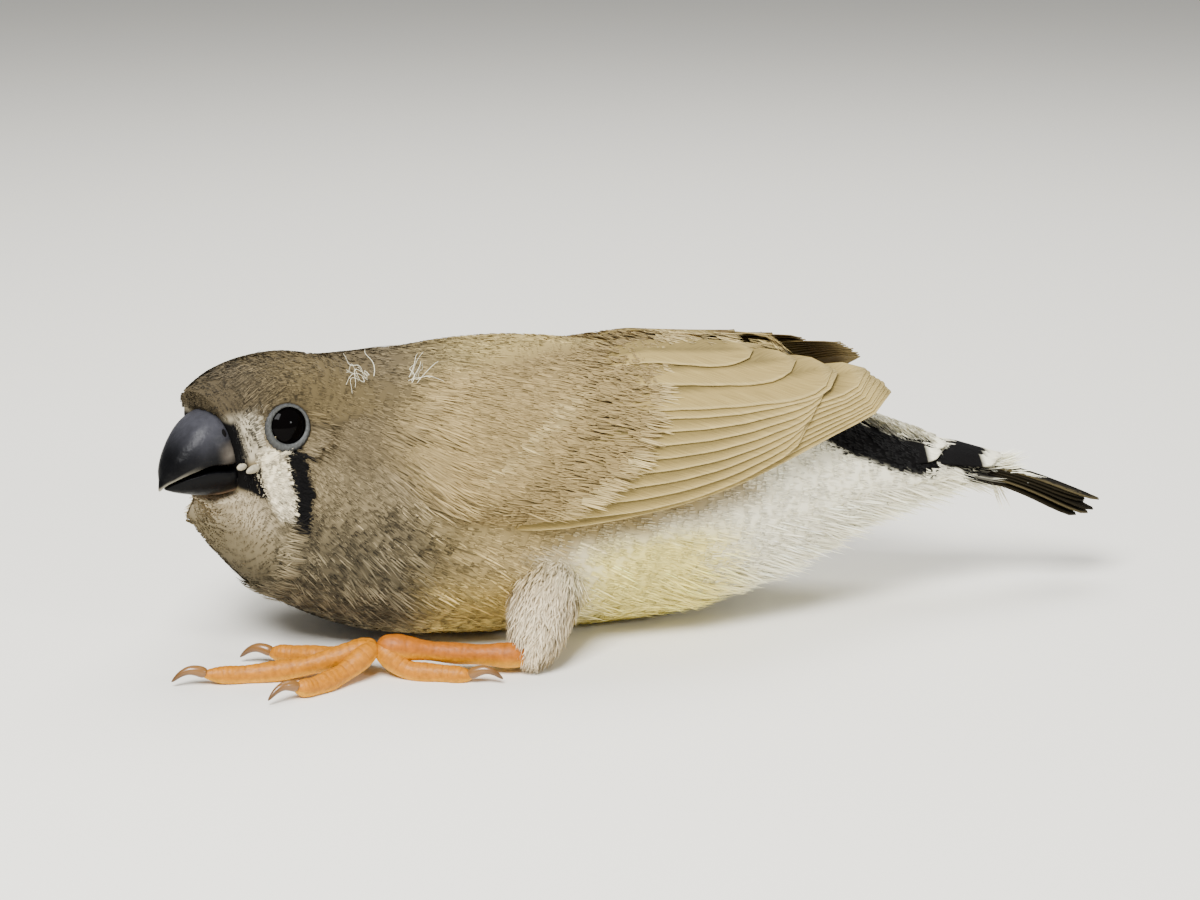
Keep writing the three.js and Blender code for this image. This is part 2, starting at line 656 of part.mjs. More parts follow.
function makeLeg(name, leg) {
  const between = (a, b, shares) => a.map((value, i) => mix(value, b[i], shares[i]));
  const knee = between(leg.hip, leg.heel, [0.5, 0.45, 0.4]);
  const shank = between(leg.heel, leg.foot, [0.5, 0.5, 0.3]);
  const tarsusLine = [leg.heel, shank, leg.foot];
  const grow = (radii, by) => radii.map((r) => r + by);
  const tarsusRadii = [1.35, TARSUS_RADIUS, TARSUS_RADIUS * 0.95, 1.45];
  const tarsus = (by) => solid(limb(tarsusLine, grow(tarsusRadii, by), 10, 10));
  const tibia = solid(limb([leg.hip, knee, leg.heel], TIBIA_RADIUS, 14, 8))
    .subtract(bodyGrown)
    .subtract(tarsus(GAP));
  add(`tibia_${name}`, tibia, finish(COLOUR.white, 0.9));

  // Each toe starts clear of the foot's knob and of the toes made before it.
  let taken = tarsus(GAP);
  add(`tarsus_${name}`, tarsus(0), finish(COLOUR.orange, 0.6));
  for (const toe of ["middle", "outer", "inner", "hind"]) {
    const points = [leg.foot, ...leg[toe].map(([x, y, z]) => [x, y, z - TOE_PRESS])];
    const radii = [TOE_RADIUS * 1.2, TOE_RADIUS, TOE_RADIUS * 0.95, TOE_RADIUS * 0.85];
    const made = solid(limb(points, radii, 8, 10)).subtract(taken);
    add(`toe_${toe}_${name}`, made, finish(COLOUR.orange, 0.6));
    const grown = solid(limb(points, grow(radii, GAP), 8, 10, -1));
    taken = taken.add(grown);

    const end = vec(points[points.length - 1]);
    const before = vec(points[points.length - 2]);
    const forward = end.clone().sub(before).setZ(0).normalize();
    const clawPoint = (t) => {
      const arch = 0.9 * Math.sin(Math.PI * t * 0.9);
      const at = end.clone().addScaledVector(forward, CLAW_LENGTH * (t - 0.1));
      return [at.x, at.y, Math.max(mix(end.z, CLAW_LOW, t) + arch, CLAW_LOW)];
    };
    const claw = limb([0, 0.35, 0.7, 1].map(clawPoint), CLAW_RADIUS, 7, 6);
    add(`claw_${toe}_${name}`, solid(claw).subtract(grown), finish(COLOUR.claw, 0.4));
  }
}

makeHead();
makeBill();
add("neck", neck, finish(COLOUR.grey, 0.9));
add("torso", trunk, finish(COLOUR.fawn, 0.9));
makeTail();
makeWing("wing_left", 1);
makeWing("wing_right", -1);
makeLeg("left", LEGS.left);
makeLeg("right", LEGS.right);

bird.position.set(-ORIGIN[0], -ORIGIN[1], 0);
export default bird;
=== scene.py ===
import bpy
import numpy as np
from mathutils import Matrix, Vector


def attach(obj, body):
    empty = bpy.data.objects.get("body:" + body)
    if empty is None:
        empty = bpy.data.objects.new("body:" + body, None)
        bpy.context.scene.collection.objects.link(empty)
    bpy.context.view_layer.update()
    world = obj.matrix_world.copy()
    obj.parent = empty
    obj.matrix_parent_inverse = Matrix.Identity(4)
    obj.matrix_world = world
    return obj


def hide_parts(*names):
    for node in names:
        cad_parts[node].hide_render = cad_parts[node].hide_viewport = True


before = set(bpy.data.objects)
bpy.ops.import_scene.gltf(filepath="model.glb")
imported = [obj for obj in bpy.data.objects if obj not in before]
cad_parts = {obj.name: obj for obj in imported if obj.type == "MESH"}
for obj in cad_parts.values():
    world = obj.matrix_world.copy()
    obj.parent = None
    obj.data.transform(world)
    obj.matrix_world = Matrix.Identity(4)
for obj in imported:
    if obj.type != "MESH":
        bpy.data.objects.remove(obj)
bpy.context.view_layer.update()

# A young zebra finch that crouches on its belly. Sizes are in millimetres, in the bird's own
# measures: +Z is up, the bird looks towards -X, its left side is at -Y and the floor is Z = 0.
MM = 0.001
ORIGIN = np.array([1.4, -0.75, 0.0])  # middle of the bird's outline, where the frame's origin is
SEED = 11
DEG = np.pi / 180
UP = np.array([0.0, 0.0, 1.0])

# Trunk: x, half width, lowest z, highest z
TRUNK = [
    (-44.4, 1.0, 11.2, 14.2), (-42.8, 5.4, 9.2, 18.0), (-39, 9.6, 5.4, 22.0), (-33, 12.4, 2.0, 25.6),
    (-27, 14.0, 0.2, 27.7), (-20, 14.6, -0.5, 29.2), (-12, 14.8, -0.6, 29.6), (-4, 14.4, -0.5, 29.0),
    (4, 13.4, 0.2, 27.0), (12, 11.4, 2.2, 24.6), (18, 9.4, 4.9, 22.3), (24, 7.2, 7.8, 19.6),
    (30, 5.2, 9.7, 17.2), (36, 3.4, 11.2, 15.0), (38, 1.2, 12.2, 14.0),
]
TRUNK_WAIST = 0.4  # how high up a section is widest, as a share of its height
SECTION_POWER = 2.25

# Head, in its own frame with the origin between the eyes: forward, half width, lowest, highest
HEAD_AT = np.array([-39.2, -4.0, 23.4])
HEAD_YAW = 33 * DEG
HEAD_PITCH = 10 * DEG
HEAD = [
    (6.9, 3.3, -7.3, 3.0), (5.6, 3.9, -7.9, 4.2), (4.0, 4.5, -8.2, 4.8), (1.5, 5.5, -8.5, 5.1),
    (-2.0, 6.5, -9.0, 4.9), (-6.0, 7.4, -9.4, 4.0), (-11.0, 8.0, -9.4, 2.2), (-16.0, 7.4, -8.0, 0.2),
]
HEAD_WAIST = 0.52
NECK_BLEND = 1.5  # how softly head and trunk run together

# The line inside the body that its surface is measured from: share, x, y, z
SPINE = [
    (0.0, -41.5, -5.5, 21.2), (0.15, -36.6, -2.4, 22.0), (0.3, -30.0, -0.8, 20.0), (0.42, -22.0, 0, 16.5),
    (0.6, -6.0, 0, 14.0), (0.8, 14.0, 0, 13.6), (1.0, 33.0, 0, 12.8),
]
SPINE_START = 0.14  # share of the rings before the spine's first point moves
FACE_CAP = 0.26
TAIL_CAP = 0.06
FURTHEST, HALVINGS = 30.0, 22  # how far out the surface is looked for along a ray, and in how many steps
SKIN_FLOOR, STRAND_FLOOR = 0.05, 0.03  # how near the floor the skin and the small feathers come
RUMP_MIDDLE = -0.5  # y of the rump's middle

# Bill, in the head's frame: forward, half width, lower edge, upper edge
BILL_ROOT = 4.65
CHIN, BROW = -5.9, 2.4  # the lowest and highest that the bill's place in the head goes
UPPER_BILL = [
    (2.0, 3.7, -3.0, 3.0), (5.0, 3.6, -2.75, 2.6), (7.0, 3.15, -2.2, 1.85), (9.0, 2.4, -2.35, 0.4),
    (10.4, 1.5, -2.75, -0.95), (11.0, 0.75, -3.1, -2.0), (11.5, 0.3, -3.5, -3.0),
]
LOWER_BILL = [
    (1.0, 3.5, -6.5, -2.9), (5.0, 3.4, -6.0, -3.0), (7.0, 2.95, -5.5, -2.5), (9.0, 2.1, -4.8, -2.6),
    (10.2, 1.25, -4.25, -2.95), (10.8, 0.4, -3.8, -3.4),
]
NOSTRIL = {"forward": 5.0, "side": 2.95, "up": 0.6, "long": 1.1, "wide": 0.36}
EYE = {"forward": -0.9, "side": 4.0, "up": -0.4, "radius": 2.6, "lean": 14 * DEG, "rise": 10 * DEG}
DISH = {"radius": 3.4, "out": 4.3}  # the hollow round an eye: a sphere, and how far out its centre lies
LID_RING = {"radius": 2.08, "thick": 0.36, "out": 2.0, "beads": 30}

# The sleeve that the folded wings lie on: x, half width, centre z, rise to the top
SLEEVE = [
    (-28, 13.8, 15.5, 12.2), (-20, 15.1, 15.0, 13.5), (-10, 15.7, 14.8, 13.6), (0, 15.2, 14.7, 13.0),
    (8, 13.6, 15.0, 11.9), (15, 11.4, 16.2, 10.0), (21, 9.2, 17.6, 7.9), (27, 7.4, 19.0, 6.1),
]
# Where the covert feathers of the folded wing lie on it, in degrees from the mid-back: x, upper, lower
WING_EDGES = [
    (-26, 42, 74), (-22, 26, 88), (-14, 14, 93), (-6, 2, 92), (4, -10, 84), (12, -14, 70), (18, -14, 60),
]
FAR_WING_RISE = 1.0  # how much higher the rear of the right wing lies
WING_BED = 0.25  # how far outside the sleeve the skin under a wing lies
# Where the tips of the greater and of the median coverts lie: degrees from the mid-back, x
COVERT_TIPS = [(10, 5.0), (24, 4.2), (38, 3.2), (48, 2.2), (66, -0.3), (77, -3.6), (84, -6.8), (92, -9.5)]
MEDIAN_BAND = [(36, -4.8), (45, -7.5), (59, -10.9), (68, -13.2), (76, -16.0), (86, -20.0)]
# The line of the rump down on to the tail: x, z
COVERT_LINE = [(14, 23.6), (18, 22.0), (22, 20.0), (26, 18.3), (30, 16.9), (34, 15.6), (38, 14.3), (42, 13.0)]

LEGS = {
    "left": {
        "hip": (-9.5, -10.0, 8.6),
        "heel": (-13.6, -18.0, 1.7),
        "foot": (-28.4, -15.6, 3.1),
        "middle": ((-35, -15.4, 1.7), (-41.0, -15.0, 1.1), (-45.2, -15.0, 1.4)),
        "outer": ((-32, -17.8, 1.5), (-35.0, -19.8, 1.1), (-37.0, -20.8, 1.4)),
        "inner": ((-32, -13.4, 1.8), (-36.0, -11.2, 1.5), (-38.4, -10.2, 1.5)),
        "hind": ((-25.8, -17.0, 1.2), (-22.4, -18.4, 0.95), (-19.6, -19.6, 0.95)),
    },
    "right": {
        "hip": (-3.5, 9.6, 8.4),
        "heel": (-1.0, 15.4, 1.7),
        "foot": (-13.6, 14.0, 2.7),
        "middle": ((-19, 13.8, 1.4), (-24.6, 13.2, 0.95), (-28.0, 12.9, 1.1)),
        "outer": ((-17.6, 16.2, 1.3), (-21.6, 18.4, 0.95), (-23.8, 19.4, 1.1)),
        "inner": ((-17.8, 12.6, 1.4), (-21.6, 11.6, 1.0), (-23.8, 11.0, 1.1)),
        "hind": ((-11.6, 15.4, 1.2), (-8.2, 16.8, 0.95), (-5.6, 17.8, 0.95)),
    },
}
TIBIA_RADIUS = (2.6, 3.4, 3.0, 2.0)
TARSUS_RADIUS = (1.35, 1.05, 1.0, 1.45)
TOE_RADIUS = (1.2, 1.0, 0.95, 0.88, 0.6)
TOE_PRESS = 0.3
CLAW_LENGTH = 3.4
CLAW_RADIUS = (0.6, 0.5, 0.34, 0.14)
TARSUS_SCALES = 11
SIDES = ((1, "left"), (-1, "right"))

# Plumage and horn colours, as a screen shows them, with painted shade for the far wing's tips and painted
# light on the bill
SRGB = {
    "forehead": (88, 80, 66), "crown": (108, 97, 76), "nape": (108, 98, 80), "cheek": (157, 144, 119),
    "throat": (156, 145, 122), "chin": (186, 175, 154), "breast": (99, 92, 77), "mantle": (176, 160, 122),
    "wing": (149, 133, 103), "flight": (178, 160, 118), "fringe": (204, 188, 150),
    "far_flight_shade": (104, 87, 62), "white": (241, 237, 218), "yellow": (226, 213, 140),
    "flank": (166, 150, 117), "buff": (204, 184, 132), "lores": (186, 178, 160), "black": (9, 8, 8),
    "dark": (17, 14, 8), "tibia": (212, 200, 176), "leg": (148, 93, 50), "sole": (208, 158, 82),
    "claw": (118, 88, 60), "horn_sheen": (62, 62, 66), "horn_dark": (7, 7, 8), "horn_edge_glint": (150, 146, 134),
    "lid": (70, 71, 70), "gape": (158, 152, 136),
}


def linear(rgb):
    """A screen colour as a linear one: the usual sRGB curve."""
    c = np.asarray(rgb, float) / 255
    return np.where(c <= 0.04045, c / 12.92, ((c + 0.055) / 1.055) ** 2.4)


def vivid(rgb, more=1.35):
    """A linear colour with its distance from grey made larger, because the view softens colours."""
    grey = rgb @ np.array([0.2126, 0.7152, 0.0722])
    return np.clip(grey + (rgb - grey) * more, 0.0005, 0.95)


COLOUR = {name: vivid(linear(rgb)) for name, rgb in SRGB.items()}
TEAR_WHITE = COLOUR["white"] * (0.93, 0.86, 0.78)
EYE_BLACK = linear((4, 3, 3))
BILL_SIDE_HIGHLIGHT = linear((112, 104, 94))  # painted highlight at the side, below the nostril
BILL_UNDER = linear((150, 122, 96))  # along the lower half's underside
random = np.random.default_rng(SEED)


def smooth(low, high, value):
    """A smooth step from 0 at low to 1 at high."""
    t = np.clip((value - low) / (high - low), 0, 1)
    return t * t * (3 - 2 * t)


def mix(a, b, t):
    """a where t is 0 and b where t is 1."""
    return a + (b - a) * t


def tint(a, b, t):
    """Colours a and b mixed by an array of shares."""
    return mix(a, b, np.asarray(t)[..., None])


def unit(v):
    """Each vector made one long."""
    return v / np.maximum(np.linalg.norm(v, axis=-1, keepdims=True), 1e-9)


def along(rows, at):
    """A smooth curve through rows of (place, values...): cubic pieces whose slope at each row is that between
    its neighbours."""
    rows = np.array(sorted(rows), float)
    last = len(rows) - 1
    place = np.clip(at, rows[0, 0], rows[-1, 0])
    i = np.clip(np.searchsorted(rows[:, 0], place, side="right") - 1, 0, last - 1)
    before = rows[np.maximum(np.arange(last + 1) - 1, 0)]
    after = rows[np.minimum(np.arange(last + 1) + 1, last)]
    slope = (after[:, 1:] - before[:, 1:]) / (after[:, :1] - before[:, :1])
    a, b = rows[i], rows[i + 1]
    step = (b[..., 0] - a[..., 0])[..., None]
    t = (place - a[..., 0])[..., None] / step
    rise = (2 * t - 3) * t * t
    bend = (1 - t) * slope[i] - t * slope[i + 1]
    return a[..., 1:] * (1 + rise) - b[..., 1:] * rise + step * t * (1 - t) * bend


def level(rows, at):
    """The one value of a smooth curve through rows of (place, value)."""
    return along(rows, at)[..., 0]


def split(points):
    """An array taken apart along its last axis."""
    return np.moveaxis(points, -1, 0)


def bell(value, width):
    """A soft bump: e to the minus square of value over width."""
    return np.exp(-((value / width) ** 2))


def wing_side(points):
    """1 for points on the bird's left and -1 on its right."""
    return np.where(points[..., 1] < 0, 1, -1)


def round_grid(rings, sides):
    """Each ring's share of the way along a closed tube, without its ends, and each point's turn round it."""
    share = (np.arange(1, rings) / rings)[:, None] * np.ones(sides)
    turn = (2 * np.pi * np.arange(sides) / sides)[None, :] * np.ones((rings - 1, 1))
    return share, turn


LEVEL_SHARE = np.cos(HEAD_PITCH)
FORWARD = -np.array([np.cos(HEAD_YAW) * LEVEL_SHARE, np.sin(HEAD_YAW) * LEVEL_SHARE, np.sin(HEAD_PITCH)])
LEFT = np.array([np.sin(HEAD_YAW), -np.cos(HEAD_YAW), 0.0])
CROWNWARD = np.cross(FORWARD, LEFT)
HEAD_AXES = np.stack([FORWARD, LEFT, CROWNWARD])


def on_head(forward, left, up):
    """Points given in the head's frame, in the bird's measures."""
    return HEAD_AT + np.stack(np.broadcast_arrays(forward, left, up), -1) @ HEAD_AXES


def from_head(points):
    """Points in the head's frame: forward, left, up."""
    return (points - HEAD_AT) @ HEAD_AXES.T


def outside_loft(rows, waist, place, side, height):
    """How far outside a loft of rounded-box sections points are, negative inside."""
    ends = (min(r[0] for r in rows), max(r[0] for r in rows))
    past = np.maximum(np.maximum(ends[0] - place, place - ends[1]), 0)
    width, low, high = split(along(rows, place))
    middle = mix(low, high, waist)
    reach = np.where(height > middle, high - middle, middle - low)
    out = np.abs(side / width) ** SECTION_POWER + np.abs((height - middle) / reach) ** SECTION_POWER
    return (out ** (1 / SECTION_POWER) - 1) * np.minimum(width, reach) + past


def outside_body(points):
    """How far outside the body points are: head and trunk, joined softly by a log of a sum of powers of e."""
    head = outside_loft(HEAD, HEAD_WAIST, *split(from_head(points)))
    trunk = outside_loft(TRUNK, TRUNK_WAIST, *split(points))
    nearer, further = np.minimum(head, trunk), np.maximum(head, trunk)
    return nearer - NECK_BLEND * np.log1p(np.exp((nearer - further) / NECK_BLEND))


def body_point(around, ring, grow):
    """The body's surface, grown by grow: found by halving along rays that leave the spine, and kept above the
    floor."""
    share = np.clip((ring - SPINE_START) / (1 - TAIL_CAP - SPINE_START), 0, 1)
    at = along(SPINE, share)
    step = 0.01
    forward = unit(along(SPINE, np.maximum(share - step, 0)) - along(SPINE, np.minimum(share + step, 1)))
    left = unit(np.cross(UP, forward))
    up = np.cross(forward, left)
    lean = np.where(ring < FACE_CAP, 1 - ring / FACE_CAP, 0)
    lean = np.where(ring > 1 - TAIL_CAP, -(ring - 1 + TAIL_CAP) / TAIL_CAP, lean) * np.pi / 2
    turn = 2 * np.pi * around
    flat = np.cos(lean)
    ray = up * (np.cos(turn) * flat)[..., None] + left * (np.sin(turn) * flat)[..., None]
    ray = ray + forward * np.sin(lean)[..., None]
    near, far = np.zeros(ring.shape), np.full(ring.shape, FURTHEST)
    for _ in range(HALVINGS):
        middle = (near + far) / 2
        inside = outside_body(at + ray * middle[..., None]) < grow
        near, far = np.where(inside, middle, near), np.where(inside, far, middle)
    point = at + ray * near[..., None]
    point[..., 2] = np.maximum(point[..., 2], SKIN_FLOOR)
    return point


def sleeve_angle(points):
    """Where points lie round the wing sleeve, in degrees from the mid-back, the same on both sides."""
    width, centre, rise = split(along(SLEEVE, points[..., 0]))
    return np.degrees(np.arctan2(np.abs(points[..., 1]) / width, (points[..., 2] - centre) / rise))


def on_sleeve(x, degrees, out, side):
    """Points of the wing sleeve: an ellipse round the back at each x, grown by out. side is 1 on the left."""
    width, centre, rise = split(along(SLEEVE, x))
    turn = degrees * DEG
    lifted = FAR_WING_RISE * smooth(0, 26, x) * (side < 0)
    y = -side * (width + out) * np.sin(turn)
    return np.stack([x, y, centre + lifted + (rise + out) * np.cos(turn)], -1)


def wing_cover(points):
    """1 where the small coverts of a folded wing cover the body, 0 elsewhere, with soft edges."""
    x = points[..., 0]
    upper, lower = split(along(WING_EDGES, x))
    angle = sleeve_angle(points)
    round_it = smooth(upper - 4, upper + 14, angle) * (1 - smooth(lower - 9, lower + 3, angle))
    return round_it * smooth(-28, -19, x) * (1 - smooth(13, 20, x))


def coat_depth(ring):
    """How deep the skin lies under the tips of the coat: thinnest on the face."""
    return mix(0.22, 0.38, smooth(0.1, 0.4, ring))


def eye_axis(side):
    """An eye's centre and the direction it looks in: outwards, leaning forwards and up."""
    axis = side * LEFT * np.cos(EYE["lean"]) + FORWARD * np.sin(EYE["lean"]) + CROWNWARD * np.tan(EYE["rise"])
    return on_head(EYE["forward"], side * EYE["side"], EYE["up"]), unit(axis)


def dished(points):
    """Points pressed in round each eye, down to a sphere whose centre lies out along the eye's axis."""
    for side in (1, -1):
        centre, axis = eye_axis(side)
        away = points - centre
        out = away @ axis
        across = np.linalg.norm(away - out[..., None] * axis, axis=-1)
        floor = DISH["out"] - np.sqrt(np.maximum(DISH["radius"] ** 2 - across**2, 0))
        points = points - axis * (np.maximum(out - floor, 0) * (across < DISH["radius"]))[..., None]
    return points


def skin_point(around, ring):
    """The skin: the body less the coat's depth, pressed in behind the bill, under the chin (softly, by a log)
    and round each eye, raised a little at the crown, and moved on to the bed of each folded wing."""
    point = body_point(around, ring, -coat_depth(ring))
    f, _, u = split(from_head(point))
    front = BILL_ROOT - 0.1 + 0.55 * smooth(BROW - 0.8, BROW + 0.2, u) + 0.2 * np.maximum(u - BROW, 0)
    chin = 7.1 + 0.5 * (np.maximum(u, -10.5) + 6.2)
    under = 0.5 * np.log1p(np.exp((f - chin) / 0.5))
    ahead = mix(under, np.maximum(f - front, 0), smooth(CHIN - 0.3, CHIN + 0.1, u))
    point = point - FORWARD * ahead[..., None]
    point = point + CROWNWARD * (0.75 * smooth(0.5, 3, u) * smooth(-12, -6, f))[..., None]
    point = dished(point)
    cover = wing_cover(point)[..., None]
    bed = on_sleeve(point[..., 0], sleeve_angle(point), WING_BED, wing_side(point))
    return mix(point, bed, cover)


def ripple(points, size):
    """A smooth wandering value between about -1 and 1, from sines of sines, size millimetres across."""
    p = points * (2 * np.pi / size)
    a = np.sin(p[..., 0] + 1.7 * np.sin(0.61 * p[..., 1] + 0.3) + 0.9 * p[..., 2])
    b = np.sin(0.83 * p[..., 1] - 1.3 * np.sin(0.47 * p[..., 2] + 1.1) + 0.41 * p[..., 0])
    c = np.sin(0.77 * p[..., 2] + 1.9 * np.sin(0.53 * p[..., 0] + 2.0))
    return (a + b + c) / 3


# Edges of the face's bars in the head's frame: how far below the eye, how far forward
TEAR_FRONT = [(0.8, 2.3), (2.0, 2.65), (4.0, 3.0), (6.3, 3.05), (8.3, 2.95), (9.4, 2.7)]
TEAR_REAR = [(1.2, 0.1), (2.0, 0.25), (3.7, 0.7), (6.5, 1.3), (8.5, 1.8), (10.2, 2.1)]
BAR_REAR = [(1.2, -1.6), (2.0, -1.35), (3.8, -0.7), (6.5, 0.15), (8.5, 0.95), (10.4, 1.6)]
PLAIN = 0.4  # the grain that gives no specks


def plumage(points, grain):
    """The colour of the small feathers, all from place: soft bands along the trunk, then the white and black
    bars of the face. grain is a value from 0 to 1 that differs from clump to clump."""
    x, z = points[:, 0], points[:, 2]
    f, l, u = from_head(points).T
    l = np.abs(l)
    down = -u
    angle = sleeve_angle(points)
    count = len(points)
    rgb = np.broadcast_to(COLOUR["breast"], (count, 3))

    def lay(name, share):
        """Lays one of the named colours over what is there."""
        nonlocal rgb
        rgb = tint(rgb, COLOUR[name], share)

    # Nape and mantle above, grey breast in front, fawn flank, white belly
    back = smooth(15, 22, z + ripple(points, 9))
    lay("cheek", smooth(-40, -33, x) * smooth(10, 20, z) * (1 - back))
    lay("nape", back * smooth(-44, -34, x))
    lay("mantle", back * smooth(-25, -12, x))
    flank = smooth(-26, -17, x - 0.25 * (z - 11) + ripple(points, 6))
    lay("flank", flank * (1 - back))
    white = smooth(12.2, 7.0, z - 0.24 * (x + 10) + 0.8 * ripple(points, 5)) * smooth(-15, -6, x)
    below = level(COVERT_LINE, x) - z
    white = np.maximum(white, smooth(8, 14, x) * np.maximum(smooth(0.8, 2.4, below), smooth(19, 22, x)))
    lay("white", white)
    yellow = white * smooth(-10, -4, x) * smooth(12, 4, x) * smooth(13.5, 10, z) * 0.8
    lay("yellow", yellow)
    lay("buff", 0.9 * smooth(-25, -19, x) * smooth(-4, -12, x) * smooth(10.0, 4.0, z) * (1 - yellow))
    # Painted light: the breast is made lighter low down, where shade falls under it
    rgb = rgb * (1 + 0.85 * smooth(-18, -24, x) * smooth(9, 1, z))[:, None]

    # Folded wing: fawn coverts
    cover = wing_cover(points) * (1 - smooth(8, 14, x))
    lay("wing", cover)

    band = bell(x - level(MEDIAN_BAND, angle), 0.8) * smooth(34, 44, angle) * (0.3 + 0.7 * grain)
    tips = smooth(-2.4, -0.8, x - level(COVERT_TIPS, angle)) * (0.65 + 0.35 * ripple(points, 3.5))
    lay("fringe", np.maximum(0.5 * band, 0.85 * tips) * cover)

    # Black and white rump under the wing tips
    below = below + 0.5 * ripple(points, 4) + 1.6 * (smooth(31, 33, x) - smooth(34.5, 36, x))
    rump = smooth(16, 18, x) * smooth(3.6, 2.9, below)
    aside = np.abs(points[:, 1] - RUMP_MIDDLE)
    lay("black", rump * np.maximum(smooth(1.5, 2.2, aside), smooth(21, 19, x)))

    # Head
    on = smooth(-14, -7, f)
    behind = smooth(-1.5, -3.5, f)
    top = smooth(mix(-0.6, -1.3, behind), mix(2.4, 0.1, behind), u + 0.12 * f * (1 - behind)) * on
    crown = tint(np.broadcast_to(COLOUR["crown"], (count, 3)), COLOUR["forehead"], smooth(-5, 2.5, f))
    rgb = tint(rgb, crown, top)
    face = smooth(-3.5, 1.5, f) * on * (1 - top)
    lay("cheek", 0.6 * face * smooth(-9, -3, u))
    lay("throat", 0.8 * smooth(1, 4, f) * smooth(-4.5, -7, u) * smooth(-16, -10, u))
    lay("chin", 0.8 * smooth(2.5, 4.5, f) * smooth(-5.0, -6.0, u) * smooth(-11, -8, u))
    # Painted shade in a crease that runs back from the eye
    crease_shade = bell(u + 0.7, 0.25) * smooth(-9.5, -6, f) * smooth(-2.2, -3, f) * smooth(3, 4, l)
    rgb = rgb * (1 - 0.4 * crease_shade[:, None])
    lores = smooth(1.2, 2.0, f) * smooth(-2.8, -2.0, u) * smooth(2.9, 1.5, u) * smooth(2.0, 3.0, l)
    lay("lores", lores)
    speck = smooth(0.52, 0.62, grain)
    lay("black", 0.8 * lores * speck)

    # Bars below the eye
    front = level(TEAR_FRONT, down)
    middle = level(TEAR_REAR, down)
    rear = level(BAR_REAR, down)
    side = smooth(2.6, 3.4, l)
    soft = 0.16
    tear = smooth(middle - soft, middle + soft, f) * smooth(front + soft, front - soft, f)
    tear = tear * smooth(1.3, 2.0, down) * smooth(9.3, 8.5, down) * side
    rgb = tint(rgb, TEAR_WHITE, tear)
    lay("dark", 0.6 * tear * speck * smooth(8.0, 2.0, down))
    bar = smooth(rear - soft, rear + soft, f) * smooth(middle + soft, middle - soft, f)
    bar = bar * smooth(0.8, 1.5, down) * smooth(10.6, 9.6, down) * side
    lay("black", bar)
    lower = 5.0 + 1.5 * smooth(4.6, 3.0, f)
    stripe = smooth(front - soft, front + soft, f) * smooth(3.0, 3.3, down) * smooth(lower + 0.4, lower, down)
    lay("black", stripe * side)
    root = BILL_ROOT - f
    edge = smooth(1.05, 0.5, root) * smooth(1.6, 2.4, l) * smooth(-5.4, -4.6, u) * smooth(2.2, 1.4, u)
    lay("black", edge)
    return rgb


def add_object(name, data):
    """An object for a mesh, a lamp or a camera, linked to the scene."""
    added = bpy.data.objects.new(name, data)
    bpy.context.scene.collection.objects.link(added)
    return added


def make_object(name, points, quads, material, colour=None, maps=None, tris=(), rides=True):
    """A mesh from whole arrays: points in millimetres, faces as rows of four and of three, a colour for each
    point and maps as rows for each face corner. It stays at the origin."""
    mesh = bpy.data.meshes.new(name)
    mesh.vertices.add(len(points))
    mesh.vertices.foreach_set("co", ((points - ORIGIN) * MM).astype(np.float32).ravel())
    corners = np.concatenate([np.ravel(quads), np.ravel(tris)]).astype(np.int32)
    sizes = np.concatenate([np.full(len(quads), 4), np.full(len(tris), 3)])
    mesh.loops.add(len(corners))
    mesh.loops.foreach_set("vertex_index", corners)
    mesh.polygons.add(len(sizes))
    mesh.polygons.foreach_set("loop_start", np.concatenate([[0], np.cumsum(sizes)[:-1]]).astype(np.int32))
    mesh.polygons.foreach_set("use_smooth", np.ones(len(sizes), bool))
    mesh.update(calc_edges=True)
    for label, rows in (maps or {}).items():
        mesh.uv_layers.new(name=label).data.foreach_set("uv", rows.astype(np.float32).ravel())
    if colour is not None:
        rgba = np.concatenate([colour, np.ones((len(colour), 1))], 1).astype(np.float32)
        mesh.color_attributes.new("Tint", "FLOAT_COLOR", "POINT").data.foreach_set("color", rgba.ravel())
    mesh.materials.append(material)
    piece = add_object(name, mesh)
    if rides:
        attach(piece, "root")
    return piece


def corners(*pairs):
    """Map rows for faces: one pair of values for each corner."""
    return np.stack([np.stack(np.broadcast_arrays(*pair), -1) for pair in pairs], -2)


def closed_tube(name, grid, material, colour, flip=False):
    """A closed surface from rings of points, whose first and last ring close on a point in their middles.
    colour is one colour or one for each point. The map unrolls the surface."""
    rings, sides = grid.shape[:2]
    colour = np.broadcast_to(colour, grid.shape)
    points = np.concatenate([grid.reshape(-1, 3), grid[:1].mean(1), grid[-1:].mean(1)])
    tints = np.concatenate([colour.reshape(-1, 3), colour[:1].mean(1), colour[-1:].mean(1)])
    i, j = np.meshgrid(np.arange(rings - 1), np.arange(sides), indexing="ij")
    k = (j + 1) % sides
    first, second = i * sides + j, i * sides + k
    quads = np.stack([first, second, second + sides, first + sides], -1).reshape(-1, 4)
    u, v = j / sides, (i + 1) / (rings + 1)
    w, h = 1 / sides, 1 / (rings + 1)
    flat = corners((u, v), (u + w, v), (u + w, v + h), (u, v + h))
    j = np.arange(sides)
    k = (j + 1) % sides
    start = np.stack([np.full(sides, rings * sides), k, j], -1)
    end = np.stack([np.full(sides, rings * sides + 1), (rings - 1) * sides + j, (rings - 1) * sides + k], -1)
    tris = np.concatenate([start, end])
    u = j * w
    caps = [corners((u + w / 2, 0), (u + w, h), (u, h)), corners((u + w / 2, 1), (u, 1 - h), (u + w, 1 - h))]
    caps = np.concatenate(caps)
    if flip:
        turned = [0, 3, 2, 1]
        quads, flat = quads[:, turned], flat[..., turned, :]
        tris, caps = tris[:, ::-1], caps[:, ::-1]
    maps = np.concatenate([flat.reshape(-1, 2), caps.reshape(-1, 2)])
    return make_object(name, points, quads, material, tints, {"OFBake": maps}, tris)


def fill(node, values):
    """Writes values into a node's sockets, by name."""
    for socket, value in values.items():
        node.inputs[socket].default_value = value


